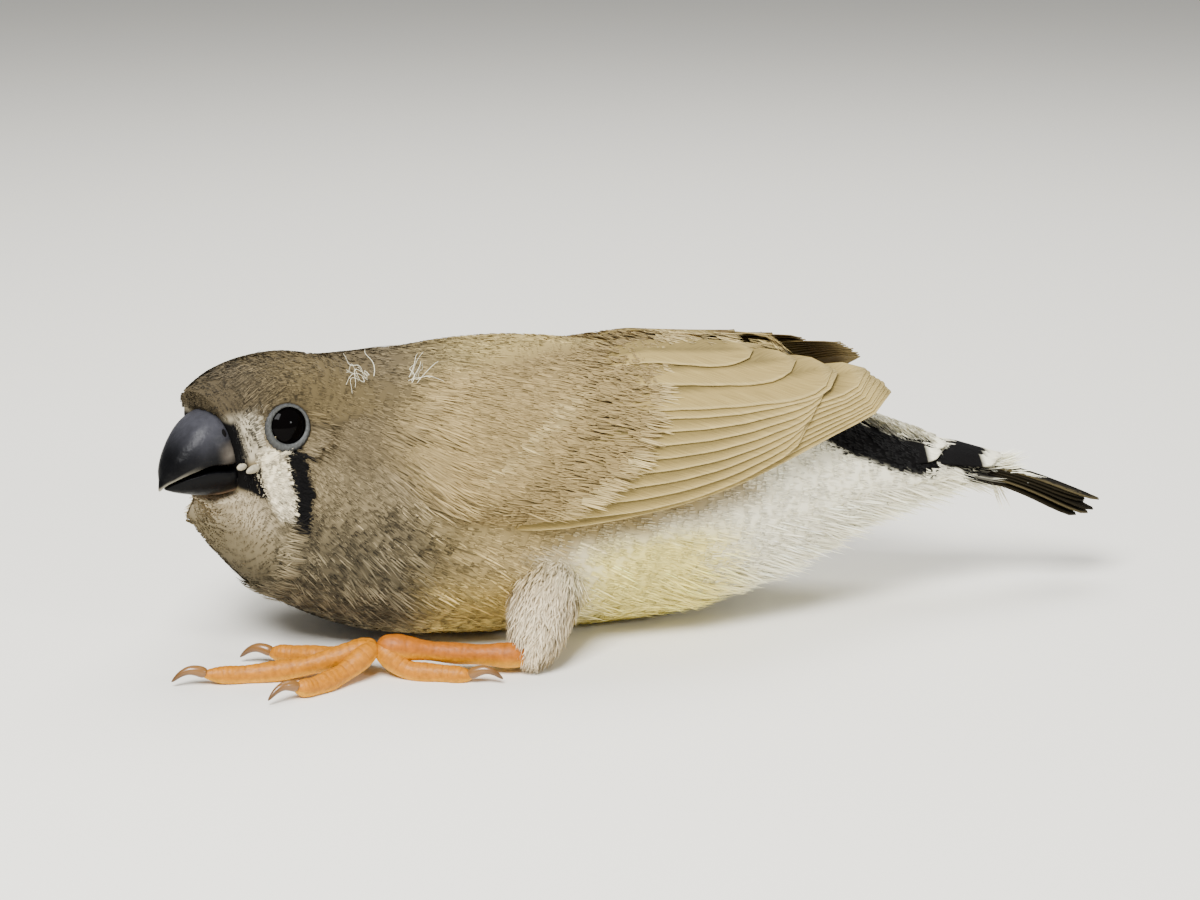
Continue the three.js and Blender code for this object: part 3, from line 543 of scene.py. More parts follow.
BUMP_DEPTH = 0.00025  # in metres, as Blender's bump node takes it
MOTTLE = {"From Min": 0.3, "From Max": 0.7, "To Min": 0.8, "To Max": 1.12}


def new_material(name, roughness, specular, more=None):
    """A material and its main node, with the values that every finish has and some more."""
    material = bpy.data.materials.new(name)
    material.use_nodes = True
    body = material.node_tree.nodes["Principled BSDF"]
    fill(body, {"Roughness": roughness, "Specular IOR Level": specular, **(more or {})})
    return material, body


def shader(name, roughness, specular, more=None, bump=0.0, bump_size=0.0, stretch=(1, 1, 1), map_name=None):
    """A material whose colour is the piece's own tint, with a fine bump and slight mottling from noise on
    Object coordinates, or on a named map for vanes, where stretch sets the noise's size along each axis."""
    material, body = new_material(name, roughness, specular, more)
    nodes = material.node_tree.nodes

    def wire(start, out, end, into):
        """Links one node's output to another's input."""
        material.node_tree.links.new(start.outputs[out], end.inputs[into])

    own = nodes.new("ShaderNodeAttribute")
    own.attribute_name = "Tint"
    if not bump:
        wire(own, "Color", body, "Base Color")
        return material
    noise = nodes.new("ShaderNodeTexNoise")
    fill(noise, {"Scale": bump_size, "Detail": 2.0})
    place = nodes.new("ShaderNodeMapping")
    fill(place, {"Scale": stretch})
    if map_name:
        source = nodes.new("ShaderNodeUVMap")
        source.uv_map = map_name
        wire(source, "UV", place, "Vector")
    else:
        source = nodes.new("ShaderNodeTexCoord")
        wire(source, "Object", place, "Vector")
    wire(place, "Vector", noise, "Vector")
    lift = nodes.new("ShaderNodeBump")
    fill(lift, {"Strength": bump, "Distance": BUMP_DEPTH})
    wire(noise, "Fac", lift, "Height")
    wire(lift, "Normal", body, "Normal")
    spread = nodes.new("ShaderNodeMapRange")
    fill(spread, MOTTLE)
    wire(noise, "Fac", spread, "Value")
    mottle = nodes.new("ShaderNodeMix")
    mottle.data_type = "RGBA"
    mottle.blend_type = "MULTIPLY"
    fill(mottle, {"Factor": 1.0})
    wire(own, "Color", mottle, "A")
    wire(spread, "Result", mottle, "B")
    wire(mottle, "Result", body, "Base Color")
    return material


FEATHER = shader("small feathers", 0.85, 0.1, {"Sheen Weight": 0.06})
VANE = shader("vanes", 0.7, 0.08, bump=0.5, bump_size=1.0, stretch=(3.6, 0.5, 1.0), map_name="Vane")
SKIN = shader("down", 0.95, 0.1)
HORN = shader("bill horn", 0.34, 0.09, bump=0.3, bump_size=1500.0)
FLESH = shader("leg skin", 0.5, 0.3, bump=0.35, bump_size=2200.0)
NAIL = shader("claw horn", 0.3, 0.5, {"Coat Weight": 0.2})
LID = shader("lid skin", 0.5, 0.4, bump=0.5, bump_size=3500.0)
WET = shader("wet eye", 0.04, 0.035)


# Skin

SKIN_RINGS, SKIN_SIDES = 300, 220
ring_places = (np.arange(1, SKIN_RINGS) / SKIN_RINGS)[:, None] * np.ones(SKIN_SIDES)
side_places = (np.arange(SKIN_SIDES) / SKIN_SIDES)[None, :] * np.ones((SKIN_RINGS - 1, 1))
skin_grid = skin_point(side_places, ring_places)


def make_skin():
    """One skin for head, neck and trunk, with the coat's markings, darkened as painted shade where it shows
    between feathers.
    """
    flat = skin_grid.reshape(-1, 3)
    colour = plumage(flat, PLAIN)
    # Painted shade: the skin is darkened where it shows between feathers, pale colours less
    colour = colour * mix(0.6, 0.92, smooth(0.18, 0.6, colour.mean(-1)))[:, None]
    piece = closed_tube("skin", skin_grid, SKIN, colour.reshape(skin_grid.shape), flip=True)
    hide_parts("head", "neck", "torso")


make_skin()


# Coat

def surface_frames(grid):
    """At each point of a grid of rings, from differences: outward normal, backward lie and area."""
    back = np.gradient(grid, axis=0)
    round_it = (np.roll(grid, -1, 1) - np.roll(grid, 1, 1)) / 2
    cross = np.cross(back, round_it)
    area = np.linalg.norm(cross, axis=-1)
    normal = unit(cross)
    return normal, unit(back), area


def pick(grid, chance, count):
    """Random points of a grid of rings, each with its own chance, and their places in the grid's map."""
    picked = random.choice(len(chance), count, p=chance / chance.sum())
    rings, sides = grid.shape[:2]
    ring, around = np.divmod(picked, sides)
    return picked, np.stack([around / sides, (ring + 1) / (rings + 1)], -1)


def flow(points, lie, normal):
    """The lie of the coat: backwards from the bill, drooping a little down the flank and off the rump."""
    x, z = points[:, 0], points[:, 2]
    droop = 0.3 * smooth(-30, -15, x) * smooth(16, 8, z) + 0.1
    bent = lie - droop[:, None] * UP
    bent = bent - (bent * normal).sum(-1, keepdims=True) * normal
    return unit(bent)


PATCH_SIZE = 0.003  # of a strand's place in the map


def strand_mesh(name, root, lie, normal, colour, length, width, lift, place, base, slot_name, hug=None):
    """Many flat tapering strands as one mesh. Each runs from its root along the lie and rises by lift. Its
    colour at the root is multiplied by base, as painted shade, and grows a little lighter towards the tip, as
    painted light. Where hug is 1 its points are moved along the normal by what the body's surface falls away
    or swells under them. Its map is a small patch at its root's place."""
    count = len(root)
    t = np.array([0.0, 0.34, 0.7, 1.0])
    breadth = np.array([0.55, 1.0, 0.8, 0.0])
    across = unit(np.cross(normal, lie))
    roll = random.normal(0, 0.25, (count, 1))
    across = across * np.cos(roll) + normal * np.sin(roll)
    rise = -0.12 + lift[:, None] * (1.7 * t - 0.7 * t * t)
    line = root[:, None] + lie[:, None] * (length[:, None] * t)[..., None]
    if hug is not None:
        out = outside_body(line)
        rise = rise - hug[:, None] * (out - out[:, :1])
    line = line + normal[:, None] * rise[..., None]
    half = across[:, None] * (width[:, None] * breadth / 2)[..., None]
    sides = np.stack([line[:, :3] - half[:, :3], line[:, :3] + half[:, :3]], 2).reshape(count, 6, 3)
    points = np.concatenate([sides, line[:, 3:]], 1)
    points[..., 2] = np.maximum(points[..., 2], STRAND_FLOOR)
    # Painted shade at each strand's root, by base, and painted light towards its tip
    painted_tip_light = np.array([1.0, 1.0, 1.02, 1.02, 1.06, 1.06, 1.12])
    shades = mix(base[:, None], painted_tip_light, np.array([0, 0, 0.6, 0.6, 1, 1, 1]))
    tints = np.clip(colour[:, None] * shades[..., None], 0, 1)
    first = (np.arange(count) * len(painted_tip_light))[:, None]
    quads = (first[:, None] + np.array([[0, 1, 3, 2], [2, 3, 5, 4]])).reshape(-1, 4)
    tris = first + np.array([4, 5, 6])
    patch = np.array([[-1, 0], [1, 0], [-1, 1], [1, 1], [-1, 2], [1, 2], [0, 3]]) * (PATCH_SIZE / 3)
    corner = place[:, None] + patch
    quad_map = corner[:, [0, 1, 3, 2, 2, 3, 5, 4]].reshape(-1, 2)
    tri_map = corner[:, [4, 5, 6]].reshape(-1, 2)
    maps = {"OFBake": np.clip(np.concatenate([quad_map, tri_map]), 0, 1)}
    piece = make_object(name, points.reshape(-1, 3), quads, FEATHER, tints.reshape(-1, 3), maps, tris)


# How far towards the wing's lower edge its long feathers reach: x, degrees from the mid-back
FLIGHT_LOWER = ([-20, -6, 4, 12, 21], [83, 92, 86, 76, 58])


def bare(points):
    """True where no small feather grows: at the bill's root, each eye and the wing's long feathers."""
    f, l, u = from_head(points).T
    root = BILL_ROOT - f + 10 * (smooth(CHIN + 0.4, CHIN - 0.2, u) + smooth(BROW - 0.3, BROW + 0.1, u))
    eye = np.hypot(f - EYE["forward"] - 0.5, u - EYE["up"] - 0.35) < LID_RING["radius"] + 0.3
    eye = eye & (np.abs(l) > 3)
    gape = (np.hypot(f - 4.1, u + 2.9) < 0.8) & (np.abs(l) > 2.5)
    angle = sleeve_angle(points)
    x = points[:, 0]
    folded = (angle > 12) & (angle < np.interp(x, *FLIGHT_LOWER)) & (x < 21)
    folded = folded & (x > level(COVERT_TIPS, angle) - 2.2)
    return (root < 0.12) | eye | gape | folded


CLUMPS = 21000
STRANDS_PER_CLUMP = 6
STRAND_TRIANGLES = 5
PIECE_TRIANGLES = 190000


def make_coat():
    """Small feathers in clumps of fanned strands, rooted at random places with a chance that follows area and
    how fine the coat is there. Chunks from head to tail stay under the limit for one piece."""
    normal, back, area = surface_frames(skin_grid)
    flat = skin_grid.reshape(-1, 3)
    normal, back, area = normal.reshape(-1, 3), back.reshape(-1, 3), area.ravel()
    head_share = smooth(-24, -36, flat[:, 0])
    f, _, u = from_head(flat).T
    face = smooth(-6, 0.5, f) * smooth(-12, -6, u)
    hidden = (wing_cover(flat) > 0.9) & (flat[:, 0] > 4)
    density = (1 + 0.5 * head_share + 2.6 * face) * np.where(hidden, 0.3, 1)
    density = density * np.where(flat[:, 2] < 0.3, 0.15, 1)
    tail_top = (np.abs(flat[:, 1] - RUMP_MIDDLE) < 1.8) * (flat[:, 0] > 22) * (flat[:, 2] > 13)
    density = density * (1 + 2.5 * tail_top)
    chance = area * density * ~bare(flat)
    picked, clump_at = pick(skin_grid, chance, CLUMPS)
    n, b = normal[picked], back[picked]
    root = flat[picked] + unit(np.cross(n, b)) * random.uniform(-0.2, 0.2, (CLUMPS, 1))
    root = root + b * random.uniform(-0.2, 0.2, (CLUMPS, 1))

    owner = np.repeat(np.arange(CLUMPS), STRANDS_PER_CLUMP)
    spread = random.uniform(-1, 1, len(owner))
    n, b, base = n[owner], b[owner], root[owner]
    fine = face[picked][owner]
    x, z = base[:, 0], base[:, 2]
    f, u = f[picked][owner], u[picked][owner]
    above = smooth(CHIN - 0.5, CHIN + 0.5, u)
    ahead = mix(0.8 * smooth(3.5, 5.0, f), 0.9 * smooth(2.8, 4.0, f), above)
    lie = unit(tint(flow(base, b, n), -FORWARD, ahead))
    across = unit(np.cross(n, lie))
    lie = unit(lie + across * (0.16 * spread + random.normal(0, 0.05, len(owner)))[:, None])
    base = base + across * (spread * mix(0.42, 0.2, fine))[:, None]
    below = level(COVERT_LINE, x) - z
    fluffy = smooth(-14, 0, x) * smooth(13, 7, z) + smooth(14, 20, x) * smooth(4.0, 5.5, below)
    fluffy = np.clip(fluffy, 0, 1)
    on_wing = wing_cover(base)
    angle = sleeve_angle(base)
    height = 0.3 + 1.1 * smooth(-12, -3, x - level(COVERT_TIPS, angle))
    base = tint(base, on_sleeve(x, angle, height, wing_side(base)), on_wing)
    head = smooth(-24, -36, x)
    chin = smooth(3.4, 4.4, f)
    ridge = smooth(2.1, 1.5, np.abs(base[:, 1] - RUMP_MIDDLE))
    ridge = smooth(22, 24, x) * smooth(34, 31, x) * ridge * (z > 12)
    base = base + UP * (0.9 * ridge)[:, None]
    tips = smooth(-6, -3, x - level(COVERT_TIPS, angle)) * on_wing

    def chosen(low, high):
        """A random value between low and high for each strand."""
        return random.uniform(low, high, len(owner))

    length = mix(mix(3.3, 2.4, head), 1.2, fine) * mix(1, 1.55, fluffy) * mix(1, 0.5, chin)
    length = length * mix(1, 0.45, smooth(4.8, 6.2, f)) * mix(1, 0.75, tips) * chosen(0.75, 1.2)
    width = mix(mix(0.155, 0.145, head), 0.11, fine) * mix(1, 0.85, on_wing) * chosen(0.8, 1.25)
    lift = mix(0.62, 0.36, fine) * mix(1, 0.8, on_wing) * mix(1, 0.7, tips) * mix(1, 0.4, chin)
    lift = lift * chosen(0.5, 1.3)
    lift = lift * mix(1, 1.8, fluffy * chosen(0, 1)) + 0.7 * ridge * chosen(0, 1)

    value = random.uniform(0, 1, CLUMPS)[owner]
    wander = np.clip(random.normal(0, 0.1, (len(owner), 1)), -0.2, 0.2)
    colour = plumage(base + lie * (0.5 * length[:, None]) + across * wander, value)
    pale = smooth(0.18, 0.6, colour.mean(-1))
    breast = smooth(-15, -25, x) * smooth(21, 14, z) * smooth(-41, -35, x)
    streak = mix(mix(0.26, 0.15, np.maximum(pale, on_wing)), 0.45, breast)
    shade = 1 + 0.5 * streak * (2 * value - 1) + streak * random.normal(0, 1, len(owner))
    spots = 0.6 * smooth(-8, -2, f) * smooth(1.2, 2.4, u) * (value > 0.78)
    # Painted shade: a dark diagonal band on the side of the breast, where the feathers part
    fold = z - 14.5 + 0.7 * (x + 25.5)
    parted_shade = 0.72 * bell(fold, 1.3) * smooth(-29, -26, x) * smooth(-16, -19, x) * (value > 0.45)
    colour = colour * (np.clip(shade, 0.3, 1.45) * (1 - np.maximum(spots, parted_shade)))[:, None]
    place = clump_at[owner]
    shadow = mix(mix(0.72, 0.85, np.maximum(pale, on_wing)), 0.35, breast)

    order = np.argsort(x, kind="stable")
    pieces = int(np.ceil(len(order) * STRAND_TRIANGLES / PIECE_TRIANGLES))
    rows = (base, lie, n, colour, length, width, lift, place, shadow)
    for i, chunk in enumerate(np.array_split(order, pieces)):
        slot_name = "plumage_grey" if x[chunk].mean() < -24 else "plumage_fawn"
        strand_mesh(f"coat_{i}", *(row[chunk] for row in rows), slot_name, 1 - on_wing[chunk])


make_coat()


# Two scraps of nestling down on the nape: x, y and the direction each leans in
DOWN = [((-28.0, -6.0), (-0.5, -0.6, 0.2)), ((-23.4, -6.8), (0.5, -0.3, 0.7))]
WISPS = 9
WISP_RADIUS = 0.036


def make_down():
    """Wisps of white down: fine closed tubes that each curl along a short path of sines from the nape."""
    s = np.linspace(0, 1, 28)[:, None]
    turn = (2 * np.pi * np.arange(5) / 5)[None, :]
    out = unit(np.array([0.1, -0.35, 0.9]))
    radius = WISP_RADIUS * (1 - 0.6 * s)
    for place, ((x, y), lean) in enumerate(DOWN):
        for number in range(WISPS):
            apart = np.hypot(skin_grid[..., 0] - x, skin_grid[..., 1] - y)
            nearest = np.argmin(apart + 99 * (skin_grid[..., 2] < 15))
            root = skin_grid.reshape(-1, 3)[nearest] + random.normal(0, 0.35, 3)
            along_it = unit(np.array(lean) + random.normal(0, 0.45, 3))
            curl = random.uniform(3, 8)
            bend = np.sin(curl * s + number) - np.sin(number)
            arch = out * (0.4 + 0.5 * np.sin(np.pi * s) + 0.25 * bend)
            path = root + along_it * (random.uniform(1.6, 3.4) * s) + arch
            path = path + np.cross(along_it, out) * (0.45 * bend)
            side = unit(np.cross(along_it, out))
            ring = side * (radius * np.cos(turn))[..., None] + out * (radius * np.sin(turn))[..., None]
            grid = path[:, None] + ring
            piece = closed_tube(f"down_{place}_{number}", grid, FEATHER, COLOUR["white"])


make_down()


# Wing and tail feathers

ACROSS = np.array([-1, -0.95, -0.86, -0.6, -0.3, 0, 0.3, 0.6, 0.86, 0.95, 1.0])
STEPS = 18
VANE_ATLAS = 8
WING_THICK, TAIL_THICK, COVERT_THICK = 0.1, 0.16, 0.14


def vane_mesh(vanes, colour_of):
    """Arrays of one joined mesh for many vanes. Each is a closed thin slab: rows from root to tip, columns
    across and a wall round the rim. Its place gives the points, and colour_of the colours. One map packs the
    slabs into cells, and the other, Vane, runs along and across the barbs in millimetres."""
    parts, tints, quads, bake, fine = [], [], [], [], []
    a = np.linspace(0, 1, STEPS)[:, None] * np.ones(len(ACROSS))
    b = np.ones((STEPS, 1)) * ACROSS
    columns = len(ACROSS)
    i, j = np.meshgrid(np.arange(STEPS - 1), np.arange(columns - 1), indexing="ij")
    first = i * columns + j
    top = np.stack([first, first + 1, first + columns + 1, first + columns], -1).reshape(-1, 4)
    size = STEPS * columns
    rim = np.concatenate([
        np.arange(columns),
        np.arange(1, STEPS) * columns + columns - 1,
        (STEPS - 1) * columns + np.arange(columns - 2, -1, -1),
        np.arange(STEPS - 2, 0, -1) * columns,
    ])
    after = np.roll(rim, -1)
    wall = np.stack([after, rim, rim + size, after + size], -1)
    faces = np.concatenate([top, top[:, ::-1] + size, wall])
    for number, vane in enumerate(vanes):
        upper, lower, length, width = vane["place"](a, b)
        colour = colour_of(vane, a, b).reshape(-1, 3)
        parts.append(np.concatenate([upper.reshape(-1, 3), lower.reshape(-1, 3)]))
        # Painted shade: the slab's underside gets the same colours, darkened
        tints.append(np.concatenate([colour, colour * 0.8]))
        offset = number * 2 * size
        face = faces[:, ::-1] if vane["flip"] else faces
        quads.append(face + offset)
        cell = np.array(divmod(number % VANE_ATLAS**2, VANE_ATLAS)) / VANE_ATLAS
        spot = np.stack([0.46 * (b + 1) / 2, 0.94 * a], -1).reshape(-1, 2)
        both = np.concatenate([spot, spot + (0.5, 0)]) + 0.02
        bake.append((cell + both / VANE_ATLAS)[face].reshape(-1, 2))
        barb = a * length - np.abs(b) * width * 0.75
        stripe = np.stack([barb + number * 3.7, b * width / 2 + number], -1).reshape(-1, 2)
        fine.append(np.concatenate([stripe, stripe])[face].reshape(-1, 2))
    return (np.concatenate(parts), np.concatenate(quads), np.concatenate(tints),
            {"OFBake": np.concatenate(bake), "Vane": np.concatenate(fine)})


def vane_width(a, round_from, root_width=0.62):
    """Half-width of a vane, a from 0 at the root to 1 at the tip: it widens slowly, then closes in an arc."""
    close = np.sqrt(np.clip(1 - ((a - round_from) / (1.001 - round_from)) ** 2, 0, 1))
    return np.where(a > round_from, close, root_width + (1 - root_width) * a / round_from)


def wing_place(root, tip, width, out, bow, side, seed):
    """A function from vane shares to points on the sleeve. The vane sinks towards its root and is bowed by a
    sine, with a raised shaft and its outer edge a little higher than the inner one."""
    def place(a, b):
        x = mix(root[0], tip[0], a)
        half, _, rise = split(along(SLEEVE, x))
        radius = (half + rise) / 2 * DEG
        degrees = mix(root[1], tip[1], a) + bow * np.sin(np.pi * a) / radius
        run, fall = tip[0] - root[0], (tip[1] - root[1]) * radius
        length = np.hypot(run, fall)
        frayed = 1 + 0.012 * np.sin(37 * a + seed) * (np.abs(b) > 0.9)
        across = b * width / 2 * vane_width(a, 1 - 0.95 * width / length) * frayed
        lift = out - 1.25 * (1 - np.minimum(1, a * length / 5)) ** 1.5
        x = x - across * fall / length
        degrees = degrees + across * run / length / radius
        top = lift + (0.05 * bell(b, 0.09) + 0.11 * b)
        return on_sleeve(x, degrees, top, side), on_sleeve(x, degrees, top - WING_THICK, side), length, width
    return place


def wing_tint(vane, a, b):
    """Wing feathers: fawn, with painted shade where the next one covers them and towards the far wing's
    tips, pale at the outer edge and the tip.
    """
    outer = smooth(0.84, 0.93, b)
    end = smooth(0.94, 0.99, a + 0.015 * np.abs(b))
    fringe = np.maximum(outer, end) * vane["fringe_and_shade"]
    # Painted shade where the next feather covers this one
    bare_strip = 2 * mix(*vane["strip"], a)
    under = smooth(bare_strip - 0.2, bare_strip, 1 - b) * (1 - smooth(0.84, 0.93, a))
    # Painted shade: the far wing's feathers darken towards their tips
    base = tint(COLOUR["flight"], COLOUR["far_flight_shade"], vane["far"] * smooth(0.78, 0.9, a))
    base = base * (1 - vane["fringe_and_shade"] * under)[..., None] * vane["value"]
    base = base * (1 - 0.2 * bell(b, 0.06))[..., None]
    return tint(base, COLOUR["fringe"], fringe)


def wing_vanes(side):
    """The vanes of one folded wing in tiers, each tier a loop between its lowest and its highest feather."""
    vanes = []

    def tier(count, root_low, root_high, tip_low, tip_high, width, out, bow, fringe_and_shade, strip, tone):
        """One tier: each pair gives what the lowest and the highest feather have."""
        for i in range(count):
            t = i / (count - 1)
            root = (mix(root_low[0], root_high[0], t), mix(root_low[1], root_high[1], t))
            end = (mix(tip_low[0], tip_high[0], t**1.2), mix(tip_low[1], tip_high[1], t))
            jitter = random.uniform(-0.25, 0.25, 2)
            end = (end[0] + jitter[0], end[1] + jitter[1])
            place = wing_place(root, end, mix(*width, t), mix(*out, t), mix(*bow, t), side, seed=i * 1.9)
            vanes.append({
                "place": place, "flip": side < 0, "fringe_and_shade": fringe_and_shade, "strip": strip,
                "far": side < 0, "value": tone * random.uniform(0.95, 1.05),
            })

    tier(9, (-15, 93), (-7, 60), (26.0, 47), (23.4, 27),
         (3.4, 4.6), (0.0, 0.72), (2.2, 1.2), 0.45, (0.24, 0.1), 0.72)
    tier(8, (-14, 86), (-5, 46), (16.0, 60), (20.0, 31),
         (3.8, 5.0), (0.5, 1.14), (1.8, 1.0), 0.45, (0.28, 0.17), 0.73)
    tier(3, (-5, 42), (-4, 18), (19.6, 29), (12.0, 14),
         (6.2, 5.6), (1.25, 1.5), (0.4, 0.2), 0.35, (0.5, 0.45), 0.71)
    return vanes


for side, name in SIDES:
    points, quads, tints, maps = vane_mesh(wing_vanes(side), wing_tint)
    wing = make_object(f"wing_feathers_{name}", points, quads, VANE, tints, maps)
    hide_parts(f"wing_{name}")


TAIL = {"root": (27, 14.6), "tip": (51.2, 8.7), "pairs": 6, "width": 3.8, "spread": 1.8, "drop": 0.1}
TAIL_LONG = 24.0
# Tiers of tail coverts: x of the root, length, lift, how many places across and how far apart they are
COVERT_TIERS = ((28, 12.5, 0.1, 6, 1.1), (22, 13, 0.4, 6, 1.6), (17, 11, 0.65, 7, 2.2))


def tail_place(order, side, reach):
    """A tail feather: a long narrow vane, one of a pair, each pair under the one before."""
    outward = (order + 0.35) / TAIL["pairs"]

    def place(a, b):
        t = a * reach * (1 - 0.1 * outward**2)
        across = b * TAIL["width"] / 2 * vane_width(a, 0.8, 0.55)
        y = side * TAIL["spread"] * outward * mix(0.5, 1, a) + across
        drop = TAIL["drop"] * (order + 0.15 * order**2) * (0.6 + 2.0 * a * a)
        sag = 1.7 * np.sin(np.pi * t) - 0.07 * y * y - drop
        x = mix(TAIL["root"][0], TAIL["tip"][0], t)
        z = mix(TAIL["root"][1], TAIL["tip"][1], t) + sag + 0.08 * bell(b, 0.1)
        return np.stack([x, y, z], -1), np.stack([x, y, z - TAIL_THICK], -1), TAIL_LONG, TAIL["width"]
    return place


def covert_place(x0, y0, long, width, lift, splay):
    """A tail covert: a vane that follows the line of the rump, falls to both sides and sinks at its root."""
    def place(a, b):
        y = y0 + splay * a + b * width / 2 * vane_width(a, 0.55, 0.7)
        x = x0 + long * a
        top = level(COVERT_LINE, x) + lift + 0.5 * smooth(26, 36, x) - 1.0 * np.maximum(0, 1 - 1.8 * a)
        z = top - 0.13 * y * y + 0.05 * bell(b, 0.1)
        return np.stack([x, y, z], -1), np.stack([x, y, z - COVERT_THICK], -1), long, width
    return place


def tail_tint(vane, a, b):
    """Tail feathers are dark with pale edges. Coverts are black with a white stripe near the inner edge, and
    the long ones have a white tip too."""
    if vane["kind"] == "tail":
        edge = np.maximum(smooth(0.82, 0.96, np.abs(b)), smooth(0.95, 1.0, a))
        return tint(COLOUR["dark"] * vane["value"], COLOUR["fringe"], vane["pale"] * edge)
    bar = smooth(0.83, 0.88, a) * (vane["kind"] == "barred")
    slash = smooth(0.78, 0.9, b * vane["inner"]) * smooth(0.3, 0.45, a) * smooth(0.95, 0.8, a)
    return tint(COLOUR["black"], COLOUR["white"], np.maximum(bar, slash))


def tail_vanes():
    """All the vanes of the tail: pairs of tail feathers, then tiers of coverts above them."""
    vanes = []
    for order in range(TAIL["pairs"] - 1, -1, -1):
        for side in (-1, 1):
            pale = {0: 0.12, 4: 0.1}.get(order, 0.01)
            place = tail_place(order, side, random.uniform(0.93, 1.0))
            vanes.append({"place": place, "kind": "tail", "value": random.uniform(0.7, 1.5), "pale": pale})
    for x0, long, lift, count, apart in COVERT_TIERS:
        for i in range(count):
            y0 = (i - (count - 1) / 2) * apart
            if abs(y0) < apart * 0.6 and x0 < 27:
                continue
            kind = "barred" if x0 > 20 else "black"
            shorter = 1 - 0.05 * abs(y0)
            vanes.append({
                "place": covert_place(x0, y0, long * shorter, 2.6, lift, splay=-0.25 * y0),
                "kind": kind, "inner": -np.sign(y0),
            })
    for vane in vanes:
        vane["flip"] = True
    return vanes


points, quads, tints, maps = vane_mesh(tail_vanes(), tail_tint)
tail = make_object("tail_feathers", points, quads, VANE, tints, maps)
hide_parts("tail")


# Bill

# The folds at the corner of the mouth, in the head's frame: place and radii
GAPE = (("front", (4.3, 4.1, -2.75), (0.75, 0.3, 0.38)), ("rear", (3.35, 4.72, -3.2), (1.15, 0.3, 0.42)))


def bill_half(rows, ridge_up, rings=70, sides=56):
    """One half of the bill in the head's frame: sections from the straight cutting edge to the rounded ridge,
    closed at both ends, and flattened on the plane of the bill's root."""
    ring, turn = round_grid(rings, sides)
    first, last = rows[0][0], rows[-1][0]
    forward = mix(first, last, (1 - np.cos(np.pi * ring)) / 2)
    width, low, high = split(along(rows, forward))
    close = np.sin(np.pi * ring) ** 0.3
    edge, ridge = (low, high) if ridge_up else (high, low)
    cosine = np.cos(turn)
    rise = np.where(cosine > 0, np.abs(cosine) ** 0.85, 0.12 * cosine)
    middle = mix(edge, ridge, 0.1)
    left = -width * close * np.sign(np.sin(turn)) * np.abs(np.sin(turn)) ** 0.8
    up = middle + (ridge - middle) * rise * close
    return np.maximum(forward, BILL_ROOT - 0.05), left, up


def make_bill():
    """Both halves of the bill, tinted from place: a painted grey sheen near the root above, near black at the
    side, a paler painted highlight below the nostril, paler under the lower half and a pale painted
    reflection at the cutting edge near the tip. Then a dark slit for each nostril, and the pale folds at the
    corners of the mouth."""
    f, l, u = bill_half(UPPER_BILL, True)
    low = along(UPPER_BILL, f)[..., 1]
    colour = np.broadcast_to(COLOUR["horn_dark"], f.shape + (3,))
    # Painted sheen: grey over the near black horn, near the root above
    sheen = smooth(-1.2, 2.0, u + 0.3 * (f - 4.7)) * smooth(10.0, 6.0, f)
    colour = tint(colour, COLOUR["horn_sheen"], 0.85 * sheen)
    # Painted highlight: a paler warm grey at the side, below the nostril
    side_highlight = smooth(6.6, 5.0, f) * smooth(0.2, -1.2, u) * smooth(-2.6, -1.6, u)
    colour = tint(colour, BILL_SIDE_HIGHLIGHT, 0.6 * side_highlight)
    # Painted reflection: a pale line along the upper half's cutting edge near the tip
    colour = tint(colour, COLOUR["horn_edge_glint"], smooth(0.4, 0.1, u - low) * smooth(7.6, 8.6, f) * 0.7)
    upper = closed_tube("bill_upper_horn", on_head(f, l, u), HORN, colour)
    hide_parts("bill_upper")
    f, l, u = bill_half(LOWER_BILL, False)
    colour = np.broadcast_to(COLOUR["horn_dark"], f.shape + (3,))
    colour = tint(colour, BILL_UNDER, smooth(-5.0, -5.7, u) * smooth(8.0, 6.0, f) * 0.85)
    lower = closed_tube("bill_lower_horn", on_head(f, l, u), HORN, colour, flip=True)
    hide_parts("bill_lower")
    for side, name in SIDES:
        centre = on_head(NOSTRIL["forward"], side * NOSTRIL["side"], NOSTRIL["up"])
        radii = (NOSTRIL["wide"] * 0.6, 0.22, NOSTRIL["long"] / 2)
        ball("nostril_" + name, centre, radii, COLOUR["black"], SKIN)
        for part, place, radii in GAPE:
            centre = on_head(place[0], side * place[1], place[2])
            ball(f"gape_{part}_{name}", centre, radii, COLOUR["gape"], LID)


def ball(name, centre, radii, colour, material, axes=HEAD_AXES, rings=16, sides=24):
    """An ellipsoid with its three radii along the head's axes, or along other axes."""
    ring, turn = round_grid(rings, sides)
    ring = ring * np.pi
    local = np.stack([np.cos(ring), np.sin(ring) * np.cos(turn), np.sin(ring) * np.sin(turn)], -1)
    grid = centre + (local * np.asarray(radii)) @ axes
    piece = closed_tube(name, grid, material, colour)
    return piece


make_bill()


# Eyes

